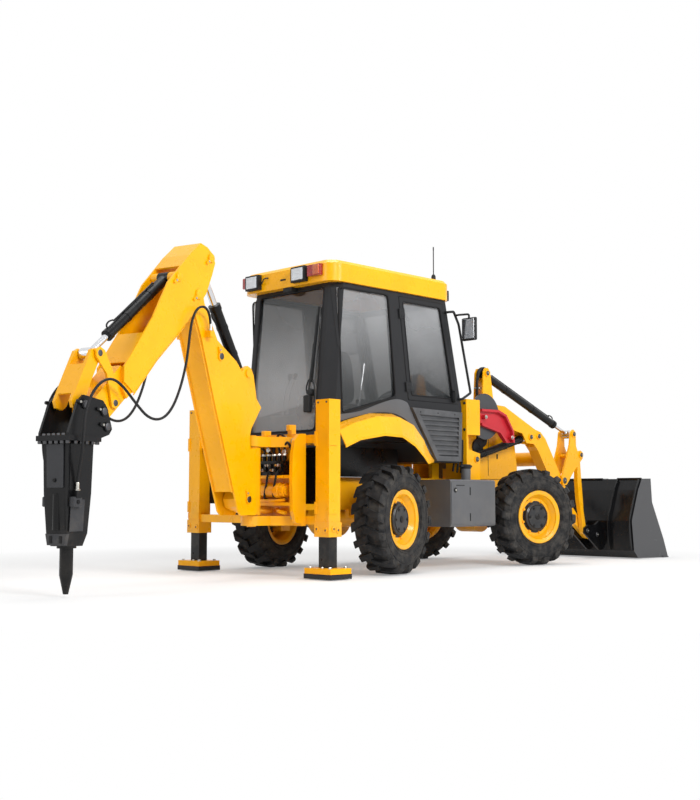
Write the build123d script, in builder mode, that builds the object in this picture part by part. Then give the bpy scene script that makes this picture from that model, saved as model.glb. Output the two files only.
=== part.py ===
"""Compact backhoe loader with a side-shifting backhoe that carries a rock breaker.

Frame: +X to the loader bucket, +Y to the operator's left, +Z up, millimetres.
The origin is on the ground, under the middle of the whole machine's box.
"""

import os
from math import atan2, cos, degrees, hypot, pi, radians, sin, tan

from build123d import *

# ---------------------------------------------------------------- driving dimensions
REAR_AXLE_X = -484.5          # rear axle behind the middle of the machine
WHEELBASE = 2100
FRONT_AXLE_X = REAR_AXLE_X + WHEELBASE
KINGPIN_Y = 725             # steering axes out from the centre line
WHEEL_OFFSET = 60           # wheel's middle outboard of its steering axis
REAR_STEER = 13             # steering angles the machine is parked at
FRONT_STEER = -14.5

RUNNING = 0.05              # radial clearance of a shaft in its bore
SIDE_GAP = 6                # room between faces that pass each other
SEAT_GAP = 0.3              # room under a curved face that lies on another piece

# tyres and rims
TYRE_RADIUS = 482.5
TYRE_WIDTH = 310
LUG_HEIGHT = 30
LUG_COUNT = 18              # lugs on each side of a tyre
LUG_WIDTH = 78
LUG_SWEEP = 74              # how far a lug's outer end trails its inner end
LUG_OVERLAP = 16            # lugs reach this far past the middle
BEAD_RADIUS = 236
RIM_FLANGE = 262
RIM_WIDTH = 252
HUB_RADIUS = 140
HUB_OUT = 100               # hub cover's face outboard of the wheel's middle
HUB_IN = 20                 # hub's inboard face
DISC_OUT = 42               # rim disc's inboard face
DISC_THICK = 16
SPINDLE_RADIUS = 50
SPINDLE_END = 82            # spindle's end outboard of the wheel's middle

# axles and swivels
BEAM_RADIUS = 75
DIFF_RADIUS = 165
YOKE_IN = 600
YOKE_THICK = 34
SWIVEL_RADIUS = 72
SWIVEL_HALF = 88
TRUNNION_RADIUS = 25

# chassis
RAIL_Y = 290
RAIL_THICK = 45
RAIL_TOP = 860
RAIL_BOTTOM = 565
BELLY_Z = 440
ENGINE_Z = 720                 # engine rests on the cross member over the front axle
CAB_MOUNT = 100                # length of each cab mount
TANK_REAR = 825
TANK_GAP = 117.5               # between the tank and the front tyre
TANK_FRONT = WHEELBASE - TYRE_RADIUS - TANK_GAP
TANK_OUT = 780
RAIL_REAR = -800            # places behind and ahead of the rear axle
RAIL_FRONT = 2470

# loader tower, arms and bucket, as places ahead of the rear axle
ARM_Y = 445
ARM_WIDTH = 120
ARM_SKIN = 14
ARM_PIVOT = (1400, 1500)
TILT_BASE = (1738, 1934)
LIFT_BASE = (1500, 1054)
LIFT_EYE = (2470, 1312)
KNEE_PIN = (2610, 1325)
LEVER_PIVOT = (3050, 860)
LEVER_TOP = (3225, 1370)
LEVER_MID = (3360, 1145)
BUCKET_LINK_PIN = (3455, 311)
BUCKET_PIVOT = (3645, 265)
ARM_TIP_WIDTH = 62           # arm's end beside the tilt link
LINK_WIDTH = 46
TOWER_REAR = 1290
TOWER_FRONT = 1500
TOWER_TOP = 1640
TOWER_OUT = 600
GUARD_PLACE = (1690, 1490)
GUARD_RADIUS = 232
GUARD_THICK = 12
TOWER_PLATE = 22
BUCKET_HALF = 950
BUCKET_WALL = 16

# pins and plates
PIN = 24
PLATE = 20
BOLT_HEAD = 12

# cab, as places ahead of the rear axle
CAB_HALF = 580
CAB_WALL = 46
CAB_FLOOR_Z = 1010
CAB_STEP_Z = 1190
CAB_TOP_Z = 2580
CAB_REAR_LOW = -605
CAB_REAR_TOP = -480
CAB_FRONT_TOP = 1000
CAB_FRONT_LOW = 1240
CAB_WAIST_Z = 1540
CAB_FOOT_X = 1200
REAR_WINDOW_HALF = 432
ROOF_REAR = -570
ROOF_FRONT = 1078
ROOF_HALF = 612
ROOF_TOP_Z = 2770
ROOF_CORNER = 130
GLASS = 6
HINGE_BACK = 12              # door hinges behind the edge of the opening
HINGE_RADIUS = 9
BONNET_HINGE = (1565, 1400)

# rear frame and stabilisers
STAB_X = -850
STAB_Y = 860
STAB_DEPTH = 130
STAB_BREADTH = 160
STAB_WALL = 14
STAB_LOW_Z = 350
STAB_TOP_Z = 1490
LEG_GAP = 5
PAD_Z = 8
PAD_SOLE = 42
PAD_THICK = 45
PAD_LENGTH = 240
PAD_BREADTH = 310
FRAME_RAIL_LOW = (450, 520)
FRAME_RAIL_HIGH = (1130, 1200)

# backhoe, as distances behind the kingpost's axis and heights
KINGPOST_X = -1220
CARRIAGE_Y = -320
SWING = 14
CARRIAGE_HALF = 325
CARRIAGE_BACK = -950
CARRIAGE_THICK = 49.7
YOKE_LOW = (440, 520)
YOKE_HIGH = (1100, 1185)
KINGPOST_RADIUS = 75
KINGPOST_HALF = 82
BOOM_FOOT = (200, 660)
BOOM_RAM_BASE = (150, 1000)
BOOM_RAM_EYE = (590, 1800)
BOOM_HALF = 110
FOOT_PIN = 32
BOOM_PLATE = 16
DIPPER_PIVOT = (907, 2252)
DIPPER_HALF = 132
DIPPER_RAM_BASE = (190, 1700)
DIPPER_RAM_EYE = (757, 2562)
TOOL_RAM_BASE = (1150, 2350)
TOOL_LEVER_TOP = (1975, 1680)
TOOL_LEVER_FOOT = (1810, 1340)
TOOL_PIVOT = (1960, 1270)
TOOL_LINK_PIN = (2150, 1310)
TOOL_AXIS = 2150
TIP_HALF = 90               # dipper's end casting
DIPPER_PLATE = 14
CHISEL_TIP_Z = 20


def fwd(distance):
    """X of a place given ahead of the rear axle."""
    return REAR_AXLE_X + distance


def side_frame(y):
    """Side-view plane at a given Y: local x is X, local y is Z, normal to -Y."""
    return Plane(origin=(0, y, 0), x_dir=(1, 0, 0), z_dir=(0, -1, 0))


def loader_frame(y):
    """Side-view plane whose local x counts from the rear axle."""
    return Plane(origin=(REAR_AXLE_X, y, 0), x_dir=(1, 0, 0), z_dir=(0, -1, 0))


BACK_DIR = (-cos(radians(SWING)), -sin(radians(SWING)), 0)
SIDE_DIR = (-sin(radians(SWING)), cos(radians(SWING)), 0)
KINGPOST = (REAR_AXLE_X + KINGPOST_X, CARRIAGE_Y, 0)
BACKHOE = Plane(origin=KINGPOST, x_dir=BACK_DIR, z_dir=SIDE_DIR)


def slab(frame, outline, low, high):
    """A plate with the given outline between two offsets along the frame's normal."""
    with BuildPart() as piece:
        with BuildSketch(frame.offset(low)):
            with BuildLine():
                Polyline(*outline, close=True)
            make_face()
        extrude(amount=high - low)
    return piece.part


def disc(frame, place, radius, low, high):
    """A round boss or pin along the frame's normal."""
    with BuildPart() as piece:
        with BuildSketch(frame.offset(low)):
            with Locations(place):
                Circle(radius)
        extrude(amount=high - low)
    return piece.part


def block(x_range, y_range, z_range):
    """A box between named limits."""
    size = [high - low for low, high in (x_range, y_range, z_range)]
    middle = [(high + low) / 2 for low, high in (x_range, y_range, z_range)]
    with BuildPart() as piece:
        with Locations(tuple(middle)):
            Box(*size)
    return piece.part


def tube(points, radius, bend):
    """A round bar along straight runs with rounded corners."""
    with BuildPart() as piece:
        with BuildLine() as path:
            FilletPolyline(*points, radius=bend)
        with BuildSketch(Plane(origin=path.line @ 0, z_dir=path.line % 0)):
            Circle(radius)
        sweep()
    return piece.part


def both_sides(part):
    """A piece and its mirror image across the centre line."""
    with BuildPart() as pair:
        add(part)
        mirror(part, about=Plane.XZ)
    return pair.part


def ram_pair(frame, base, eye, closed, out, bore, rod, width):
    """Barrel and rod of a hydraulic ram between two pins of a side view.

    closed is its shortest length from pin to pin, out how far it still extends.
    """
    span = hypot(eye[0] - base[0], eye[1] - base[1])
    lean = (eye[0] - base[0]) / span, (eye[1] - base[1]) / span
    along = frame.x_dir * lean[0] + frame.y_dir * lean[1]
    axis = Plane(origin=frame.from_local_coords((base[0], base[1], 0)), x_dir=frame.z_dir, z_dir=along)
    boss = bore * 1.15
    gland = closed - boss - 18
    with BuildPart() as barrel:
        add(disc(frame, base, boss, -width / 2, width / 2))
        with BuildSketch(axis.offset(boss * 0.6)):
            Circle(bore)
        extrude(amount=gland - boss * 0.6)
        with BuildSketch(axis.offset(gland - bore)):
            Circle(bore * 1.12)
        extrude(amount=bore)
        with BuildSketch(axis.offset(boss + 10)):
            Circle(rod + RUNNING)
        extrude(amount=gland, mode=Mode.SUBTRACT)
        add(disc(frame, base, PIN + RUNNING, -width, width), mode=Mode.SUBTRACT)
    with BuildPart() as piston:
        with BuildSketch(axis.offset(gland - out - 60)):
            Circle(rod)
        extrude(amount=span - gland + out + 60 - boss * 0.6)
        add(disc(frame, eye, boss, -width / 2, width / 2))
    return barrel.part, piston.part


os.makedirs("parts", exist_ok=True)


def keep(piece, name):
    """Label a piece and write it to its own file."""
    piece.part.label = name
    export_step(piece.part, "parts/" + name + ".step")


# ---------------------------------------------------------------- tyres and rims
half_width = TYRE_WIDTH / 2
carcass_radius = TYRE_RADIUS - LUG_HEIGHT
bead_y = RIM_WIDTH / 2 - 10 - SEAT_GAP

with BuildPart() as carcass:
    with BuildSketch(Plane.YZ):
        with BuildLine():
            Polyline(
                (-bead_y, BEAD_RADIUS + SEAT_GAP), (-bead_y, RIM_FLANGE + 2), (-138, 280), (-150, 330),
                (-148, 400), (-118, carcass_radius - 12), (0, carcass_radius), (118, carcass_radius - 12),
                (148, 400), (150, 330), (138, 280), (bead_y, RIM_FLANGE + 2),
                (bead_y, BEAD_RADIUS + SEAT_GAP), close=True,
            )
        make_face()
    revolve(axis=Axis.Y)

with BuildPart() as tread_envelope:
    with BuildSketch(Plane.YZ):
        with BuildLine():
            Polyline(
                (-half_width, 402), (-half_width, 446), (-132, TYRE_RADIUS - 9), (0, TYRE_RADIUS),
                (132, TYRE_RADIUS - 9), (half_width, 446), (half_width, 402), close=True,
            )
        make_face()
    revolve(axis=Axis.Y)

pitch = 2 * 3.14159265 * TYRE_RADIUS / LUG_COUNT
with BuildPart() as lug:
    for side, shift in ((1, 0), (-1, pitch / 2)):
        inner = -side * LUG_OVERLAP
        outer = side * (half_width + 5)
        with BuildSketch(Plane.XY.offset(395)):
            with BuildLine():
                Polyline(
                    (shift - LUG_WIDTH / 2, inner), (shift + LUG_WIDTH / 2 - 14, inner),
                    (shift + LUG_WIDTH / 2 + LUG_SWEEP - 14, outer),
                    (shift - LUG_WIDTH / 2 + LUG_SWEEP, outer), close=True,
                )
            make_face()
        extrude(amount=110)
    add(tread_envelope.part, mode=Mode.INTERSECT)

turns = [Location((0, 0, 0), (0, 360 * step / LUG_COUNT, 0)) for step in range(LUG_COUNT)]
with BuildPart() as tyre_form:
    add(carcass.part)
    with Locations(*turns):
        add(lug.part)

rim_half = RIM_WIDTH / 2
with BuildPart() as rim_form:
    with BuildSketch(Plane.YZ):
        with BuildLine():
            Polyline(
                (rim_half, RIM_FLANGE), (rim_half - 10, RIM_FLANGE), (rim_half - 10, BEAD_RADIUS),
                (64, 232), (44, 208), (-66, 208), (-90, 232), (10 - rim_half, BEAD_RADIUS),
                (10 - rim_half, RIM_FLANGE), (-rim_half, RIM_FLANGE), (-rim_half, 250),
                (8 - rim_half, 224), (-72, 196), (DISC_OUT, 196), (DISC_OUT, HUB_RADIUS),
                (HUB_IN, HUB_RADIUS), (HUB_IN, SPINDLE_RADIUS + RUNNING),
                (SPINDLE_END + 6, SPINDLE_RADIUS + RUNNING), (SPINDLE_END + 6, 0), (HUB_OUT, 0),
                (HUB_OUT, HUB_RADIUS - 22), (HUB_OUT - 14, HUB_RADIUS), (DISC_OUT + DISC_THICK, HUB_RADIUS),
                (DISC_OUT + DISC_THICK, 186), (104, 220), (rim_half - 8, 224), (rim_half, 250), close=True,
            )
        make_face()
    revolve(axis=Axis.Y)

# name, X of the axle, side of the machine, steering angle
CORNERS = (
    ("front_left", FRONT_AXLE_X, 1, FRONT_STEER),
    ("front_right", FRONT_AXLE_X, -1, FRONT_STEER),
    ("rear_left", REAR_AXLE_X, 1, REAR_STEER),
    ("rear_right", REAR_AXLE_X, -1, REAR_STEER),
)

with BuildPart() as swivel_form:
    Cylinder(SWIVEL_RADIUS, 2 * SWIVEL_HALF)
    Cylinder(TRUNNION_RADIUS, 2 * (SWIVEL_HALF + YOKE_THICK))
    with BuildSketch(Plane.XZ):
        Circle(SWIVEL_RADIUS - 10)
    extrude(amount=-(WHEEL_OFFSET + HUB_IN - SIDE_GAP))
    with BuildSketch(Plane.XZ):
        Circle(SPINDLE_RADIUS)
    extrude(amount=-(WHEEL_OFFSET + SPINDLE_END))

for name, axle_x, side, steer in CORNERS:
    turn = steer if side > 0 else steer + 180
    pin_place = Location((axle_x, side * KINGPIN_Y, TYRE_RADIUS), (0, 0, turn))
    wheel_place = pin_place * Location((0, WHEEL_OFFSET, 0))
    with BuildPart() as tyre:
        with Locations(wheel_place):
            add(tyre_form.part)
    keep(tyre, "tyre_" + name)
    with BuildPart() as rim:
        with Locations(wheel_place):
            add(rim_form.part)
    keep(rim, "rim_" + name)
    with BuildPart() as swivel:
        with Locations(pin_place):
            add(swivel_form.part)
    keep(swivel, "swivel_" + name)

# ---------------------------------------------------------------- axles
yoke_low = SWIVEL_HALF + SIDE_GAP
yoke_high = yoke_low + YOKE_THICK
with BuildPart() as axle_half:
    with BuildSketch(Plane.XZ):
        Circle(BEAM_RADIUS)
    extrude(amount=-(YOKE_IN + 20))
    with Locations((0, YOKE_IN + 20, 0)):
        Box(110, 40, 2 * yoke_high)
    for level in (yoke_low + YOKE_THICK / 2, -yoke_low - YOKE_THICK / 2):
        with Locations((0, (YOKE_IN + KINGPIN_Y) / 2, level)):
            Box(96, KINGPIN_Y - YOKE_IN, YOKE_THICK)
        with Locations((0, KINGPIN_Y, level)):
            Cylinder(48, YOKE_THICK)
            Cylinder(TRUNNION_RADIUS + RUNNING, YOKE_THICK, mode=Mode.SUBTRACT)

with BuildPart() as axles:
    for axle_x in (REAR_AXLE_X, FRONT_AXLE_X):
        with Locations((axle_x, 0, TYRE_RADIUS)):
            add(axle_half.part)
            add(axle_half.part.mirror(Plane.XZ))
            Cylinder(DIFF_RADIUS, 250, rotation=(90, 0, 0))
    for side in (1, -1):
        with Locations((REAR_AXLE_X, side * (RAIL_Y + RAIL_THICK / 2), (RAIL_BOTTOM + TYRE_RADIUS) / 2)):
            Box(150, RAIL_THICK, RAIL_BOTTOM - TYRE_RADIUS)
keep(axles, "axles")

# ---------------------------------------------------------------- chassis
rail_outline = (
    (RAIL_REAR, RAIL_BOTTOM), (560, RAIL_BOTTOM), (640, BELLY_Z), (1480, BELLY_Z), (1560, RAIL_BOTTOM),
    (RAIL_FRONT - 60, RAIL_BOTTOM), (RAIL_FRONT, RAIL_BOTTOM + 60), (RAIL_FRONT, RAIL_TOP), (RAIL_REAR, RAIL_TOP),
)
arm_inner = ARM_Y - ARM_WIDTH / 2
arm_outer = ARM_Y + ARM_WIDTH / 2
plate_inner = arm_inner - SIDE_GAP
plate_outer = arm_outer + SIDE_GAP
post_low = 1290
tower_foot = 852
inner_tower = (
    (TOWER_REAR, tower_foot), (TOWER_FRONT + 60, tower_foot), (TOWER_FRONT + 60, 1110),
    (TOWER_FRONT, 1180), (TOWER_FRONT, 1560), (TOWER_FRONT - 60, TOWER_TOP - 20), (TOWER_REAR, TOWER_TOP - 20),
)
outer_strip = (
    (TOWER_REAR, tower_foot), (TOWER_FRONT + 60, tower_foot), (TOWER_FRONT + 60, 1110),
    (TOWER_REAR + 90, 1150), (TOWER_REAR + 90, post_low + 20), (TOWER_REAR, post_low + 20),
)
left = loader_frame(0)
post_inner = arm_outer + GUARD_THICK + 2 * SIDE_GAP
with BuildPart() as tower_side:
    add(slab(left, rail_outline, -RAIL_Y - RAIL_THICK, -RAIL_Y))
    add(slab(left, inner_tower, -plate_inner, -plate_inner + TOWER_PLATE))
    add(block((fwd(TOWER_REAR), fwd(TOWER_FRONT)), (RAIL_Y, RAIL_Y + RAIL_THICK), (RAIL_TOP - 60, 960)))
    add(block((fwd(TOWER_REAR), fwd(TOWER_REAR) + 16), (RAIL_Y + RAIL_THICK - 1, TOWER_OUT), (tower_foot, TOWER_TOP)))
    add(slab(left, outer_strip, -post_inner - TOWER_PLATE, -post_inner))
    add(block((fwd(TOWER_REAR), fwd(TOWER_FRONT)), (post_inner, TOWER_OUT), (post_low, TOWER_TOP)))
    add(block((fwd(TOWER_REAR), fwd(TOWER_FRONT)), (RAIL_Y + RAIL_THICK - 1, post_inner + 5), (tower_foot, 900)))
    for pin in (ARM_PIVOT, LIFT_BASE):
        add(disc(left, pin, PIN, -post_inner, -plate_inner))
    add(disc(left, LIFT_BASE, PIN + 10, -post_inner - TOWER_PLATE - BOLT_HEAD, -post_inner))

with BuildPart() as main_frame:
    add(tower_side.part)
    mirror(tower_side.part, about=Plane.XZ)
    for low, high in ((RAIL_REAR, -640), (520, 620), (1380, 1500), (RAIL_FRONT - 80, RAIL_FRONT)):
        add(block((fwd(low), fwd(high)), (-RAIL_Y, RAIL_Y), (RAIL_BOTTOM + 60, RAIL_TOP - 40)))
    add(block((FRONT_AXLE_X - 130, FRONT_AXLE_X + 130), (-RAIL_Y, RAIL_Y), (TYRE_RADIUS + DIFF_RADIUS, 720)))
    add(block((fwd(660), fwd(1460)), (-RAIL_Y, RAIL_Y), (BELLY_Z, BELLY_Z + 14)))
    for side in (1, -1):
        rail = sorted((side * RAIL_Y, side * (RAIL_Y + RAIL_THICK)))
        add(block((fwd(1080), fwd(1080 + CAB_MOUNT)), rail, (RAIL_TOP - 10, CAB_FLOOR_Z - SEAT_GAP)))
        add(block((fwd(-560), fwd(CAB_MOUNT - 560)), rail, (RAIL_TOP - 10, CAB_STEP_Z - SEAT_GAP)))
keep(main_frame, "main_frame")

with BuildPart() as engine:
    add(block((fwd(1700), fwd(2330)), (-200, 200), (ENGINE_Z + SEAT_GAP, 1210)))
keep(engine, "engine_block")

# ---------------------------------------------------------------- loader arms
arm_outline = (
    (1330, 1475), (1345, 1560), (1400, 1590), (1640, 1632), (2030, 1612), (2560, 1392), (2650, 1372), (2740, 1300),
    (2960, 990), (3140, 740), (3500, 390), (3650, 320), (3695, 290), (3695, 240), (3650, 213), (3590, 225),
    (3280, 440), (2940, 700), (2720, 1010), (2600, 1175), (2530, 1240), (2400, 1246), (2330, 1345), (2060, 1392),
    (1700, 1408), (1400, 1412), (1345, 1430),
)
horn_outline = (
    (1660, 1560), (1686, 1940), (1712, 1984), (1760, 1990), (1794, 1950), (1860, 1560),
)
with BuildPart() as arm_side:
    with BuildSketch(left.offset(-arm_outer)):
        with BuildLine():
            Polyline(*arm_outline, close=True)
        make_face()
    extrude(amount=ARM_WIDTH)
    for low in (arm_inner, arm_outer - ARM_SKIN):
        add(slab(left, horn_outline, -low - ARM_SKIN, -low))
    add(slab(left, ((2290, 1180), (2562, 1180), (2548, 1372), (2440, 1404), (2290, 1410)),
             -arm_outer + ARM_SKIN, -arm_inner - ARM_SKIN), mode=Mode.SUBTRACT)
    add(slab(left, ((3120, 500), (3120, 900), (3900, 900), (3900, 100), (3400, 100)),
             -arm_outer - 10, -arm_inner - ARM_TIP_WIDTH), mode=Mode.SUBTRACT)
    for pin in (ARM_PIVOT, BUCKET_PIVOT):
        add(disc(left, pin, PIN + RUNNING, -arm_outer - 1, -arm_inner + 1), mode=Mode.SUBTRACT)
    add(disc(left, GUARD_PLACE, GUARD_RADIUS, -arm_outer - GUARD_THICK, -arm_outer))
    add(disc(left, ARM_PIVOT, 84, -arm_outer - GUARD_THICK, -arm_outer - 0.01), mode=Mode.SUBTRACT)
    for pin in (TILT_BASE, KNEE_PIN, LIFT_EYE):
        add(disc(left, pin, PIN + 10, -arm_outer - BOLT_HEAD, -arm_outer))
    add(disc(left, TILT_BASE, PIN, -arm_outer, -arm_inner))
    add(disc(left, LEVER_PIVOT, 50, -arm_outer, -arm_inner))
    add(disc(left, LEVER_PIVOT, PIN, -arm_outer - SIDE_GAP - PLATE, -arm_inner + SIDE_GAP + PLATE))
with BuildPart() as loader_arms:
    add(arm_side.part)
    mirror(arm_side.part, about=Plane.XZ)
    with BuildSketch(Plane.XZ.offset(-arm_inner)):
        with Locations((fwd(2790), 1090)):
            Circle(75)
    extrude(amount=2 * arm_inner)
keep(loader_arms, "loader_arms")

tilt_barrel, tilt_rod = ram_pair(
    loader_frame(ARM_Y), TILT_BASE, LEVER_TOP, closed=1385, out=370, bore=40, rod=19, width=64)
lift_barrel, lift_rod = ram_pair(
    loader_frame(ARM_Y), LIFT_BASE, LIFT_EYE, closed=955, out=450, bore=38, rod=24, width=70)
for part, name in ((tilt_barrel, "tilt_ram_barrels"), (tilt_rod, "tilt_ram_rods"),
                   (lift_barrel, "lift_ram_barrels"), (lift_rod, "lift_ram_rods")):
    with BuildPart() as rams:
        add(part)
        mirror(part, about=Plane.XZ)
    keep(rams, name)

lever_outline = (
    (3020, 815), (3085, 812), (3215, 950), (3400, 1108), (3408, 1168), (3362, 1195), (3310, 1180),
    (3276, 1240), (3272, 1390), (3228, 1422), (3182, 1394), (3156, 1250), (3084, 1080), (3000, 900),
)
lever_in = ARM_WIDTH / 2 + SIDE_GAP
with BuildPart() as lever_side:
    for low in (ARM_Y + lever_in, ARM_Y - lever_in - PLATE):
        add(slab(left, lever_outline, -low - PLATE, -low))
    add(disc(left, (3200, 1130), 22, -ARM_Y - lever_in, -ARM_Y + lever_in))
    add(disc(left, LEVER_PIVOT, PIN + RUNNING, -ARM_Y - 99, -ARM_Y + 99), mode=Mode.SUBTRACT)
    for pin in (LEVER_TOP, LEVER_MID):
        add(disc(left, pin, PIN + 10, -ARM_Y - lever_in - PLATE - BOLT_HEAD, -ARM_Y - lever_in - PLATE))
    add(disc(left, LEVER_MID, PIN, -ARM_Y - lever_in, -ARM_Y + lever_in))
with BuildPart() as tilt_levers:
    add(lever_side.part)
    mirror(lever_side.part, about=Plane.XZ)
keep(tilt_levers, "tilt_levers")

link_outline = (
    (3332, 1105), (3385, 1105), (3402, 900), (3430, 640), (3440, 520), (3484, 345), (3492, 311), (3455, 276),
    (3418, 300), (3384, 520), (3352, 640), (3330, 860),
)
link_high = arm_outer
link_low = arm_outer - LINK_WIDTH
with BuildPart() as link_side:
    add(slab(left, link_outline, -link_high, -link_low))
    add(disc(left, LEVER_MID, 44, -link_high, -link_low))
    add(disc(left, LEVER_MID, PIN + RUNNING, -link_high - 1, -link_low + 1), mode=Mode.SUBTRACT)
    add(disc(left, BUCKET_LINK_PIN, 38, -link_high, -link_low))
with BuildPart() as tilt_links:
    add(link_side.part)
    mirror(link_side.part, about=Plane.XZ)
keep(tilt_links, "tilt_links")

# ---------------------------------------------------------------- loader bucket
bucket_outside = (
    (4463, 0), (3824, 12), (3742, 90), (3706, 420), (3850, 760), (3930, 886), (4117, 889),
)
bucket_side = (
    (4463, 0), (3824, 12), (3742, 90), (3706, 420), (3850, 760), (3930, 886), (4117, 889), (4139, 623), (4371, 207),
)
bucket_inside = (
    (4500, 16), (3834, 16 + BUCKET_WALL), (3760, 100), (3724, 420), (3865, 750), (3937, 868), (4200, 870), (4500, 600),
)
bracket_outline = (
    (3418, 280), (3420, 345), (3480, 372), (3620, 372), (3714, 420), (3735, 190), (3742, 92), (3690, 96),
    (3540, 200),
)
bracket_in = ARM_WIDTH / 2 + SIDE_GAP
with BuildPart() as bucket:
    add(slab(left, bucket_side, -BUCKET_HALF, BUCKET_HALF))
    add(slab(left, bucket_inside, -BUCKET_HALF + BUCKET_WALL, BUCKET_HALF - BUCKET_WALL), mode=Mode.SUBTRACT)
    add(slab(left, ((4463, 0), (4340, 0), (4340, 22), (4440, 22)), -BUCKET_HALF - 8, BUCKET_HALF + 8))
    for side in (1, -1):
        for low in (ARM_Y + bracket_in, ARM_Y - bracket_in - PLATE):
            low, high = sorted((side * low, side * (low + PLATE)))
            add(slab(left, bracket_outline, -high, -low))
        near, far = sorted((side * (ARM_Y + bracket_in), side * (ARM_Y - bracket_in)))
        add(disc(left, BUCKET_PIVOT, PIN, -far, -near))
        for pin in (BUCKET_PIVOT, BUCKET_LINK_PIN):
            head = sorted((side * (ARM_Y + bracket_in + PLATE), side * (ARM_Y + bracket_in + PLATE + BOLT_HEAD)))
            add(disc(left, pin, PIN + 10, -head[1], -head[0]))
keep(bucket, "loader_bucket")


# ---------------------------------------------------------------- cab
cab_outline = (
    (CAB_REAR_LOW, CAB_STEP_Z), (CAB_REAR_TOP, CAB_TOP_Z), (CAB_FRONT_TOP, CAB_TOP_Z), (CAB_FRONT_LOW, CAB_WAIST_Z),
    (CAB_FOOT_X, CAB_FLOOR_Z), (700, CAB_FLOOR_Z), (560, CAB_STEP_Z),
)
cab_inside = (
    (CAB_REAR_LOW + 50, CAB_STEP_Z + CAB_WALL), (CAB_REAR_TOP + 46, CAB_TOP_Z + 5),
    (CAB_FRONT_TOP - 46, CAB_TOP_Z + 5), (CAB_FRONT_LOW - 48, CAB_WAIST_Z),
    (CAB_FOOT_X - 44, CAB_FLOOR_Z + CAB_WALL), (728, CAB_FLOOR_Z + CAB_WALL), (588, CAB_STEP_Z + CAB_WALL),
)
quarter_opening = ((-405, 1415), (-455, 2530), (190, 2535), (290, 1600))
sash_opening = ((330, 2545), (955, 2545), (1178, 1580), (462, 1580))
door_opening = ((330, 2545), (955, 2545), (1185, 1540), (1160, 1075), (800, 1075), (640, 1262), (440, 1560))


def grown(outline, amount):
    """The outline with every edge moved outwards, or inwards when amount is negative."""
    count = len(outline)
    area = sum(outline[i - 1][0] * outline[i][1] - outline[i][0] * outline[i - 1][1] for i in range(count))
    turn = 1 if area > 0 else -1
    edges = []
    for i in range(count):
        (x, z), (to_x, to_z) = outline[i], outline[(i + 1) % count]
        length = hypot(to_x - x, to_z - z)
        along = ((to_x - x) / length, (to_z - z) / length)
        edges.append((x + along[1] * amount * turn, z - along[0] * amount * turn, *along))
    corners = []
    for i in range(count):
        x, z, dx, dz = edges[i - 1]
        next_x, next_z, next_dx, next_dz = edges[i]
        reach = ((next_x - x) * next_dz - (next_z - z) * next_dx) / (dx * next_dz - dz * next_dx)
        corners.append((x + dx * reach, z + dz * reach))
    return corners


with BuildPart() as cab_frame:
    add(slab(left, cab_outline, -CAB_HALF, CAB_HALF))
    add(slab(left, cab_inside, -CAB_HALF + CAB_WALL, CAB_HALF - CAB_WALL), mode=Mode.SUBTRACT)
    rear_corners = cab_frame.edges().filter_by(lambda edge: abs(edge.center().Y) > CAB_HALF - 1).filter_by(
        lambda edge: edge.center().X < fwd(CAB_REAR_TOP) and edge.length > 1300)
    chamfer(rear_corners, 90)
    add(slab(left, quarter_opening, -CAB_HALF - 5, CAB_HALF + 5), mode=Mode.SUBTRACT)
    add(slab(left, sash_opening, 0, CAB_HALF + 5), mode=Mode.SUBTRACT)
    add(slab(left, door_opening, -CAB_HALF - 5, 0), mode=Mode.SUBTRACT)
    add(block((fwd(-700), fwd(-400)), (-REAR_WINDOW_HALF, REAR_WINDOW_HALF), (1262, 2545)), mode=Mode.SUBTRACT)
    add(block((fwd(940), fwd(1400)), (-505, 505), (1575, 2530)), mode=Mode.SUBTRACT)
    add(block((fwd(1120), fwd(1230)), (-280, 280), (1100, 1480)), mode=Mode.SUBTRACT)
keep(cab_frame, "cab_frame")


def pane(outline, low, high):
    """Flat glass for a side opening, let into the wall."""
    return slab(left, grown(outline, -SEAT_GAP), low, high)


def leaning_glass(foot, head, half, inset):
    """Glass in a leaning end wall, from foot to head of its opening."""
    line = ((foot[0], foot[1]), (head[0], head[1]), (head[0] + GLASS, head[1]), (foot[0] + GLASS, foot[1]))
    return slab(left, line, -half + inset, half - inset)


def wall_x(z, low, high):
    """X of a leaning wall at height z."""
    return low[0] + (high[0] - low[0]) * (z - low[1]) / (high[1] - low[1])


rear_wall = ((CAB_REAR_LOW, CAB_STEP_Z), (CAB_REAR_TOP, CAB_TOP_Z))
front_wall = ((CAB_FRONT_LOW, CAB_WAIST_Z), (CAB_FRONT_TOP, CAB_TOP_Z))
with BuildPart() as cab_glass:
    for y in (1, -1):
        low, high = sorted((y * (CAB_HALF - 18), y * (CAB_HALF - 18 - GLASS)))
        add(pane(quarter_opening, low, high))
    add(leaning_glass((wall_x(1262, *rear_wall) + 16, 1262 + SEAT_GAP),
                      (wall_x(2545, *rear_wall) + 16, 2545 - SEAT_GAP), REAR_WINDOW_HALF, SEAT_GAP))
    add(leaning_glass((wall_x(1575, *front_wall) - 24, 1575 + SEAT_GAP),
                      (wall_x(2530, *front_wall) - 24, 2530 - SEAT_GAP), 505, SEAT_GAP))
keep(cab_glass, "cab_glass")

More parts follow.
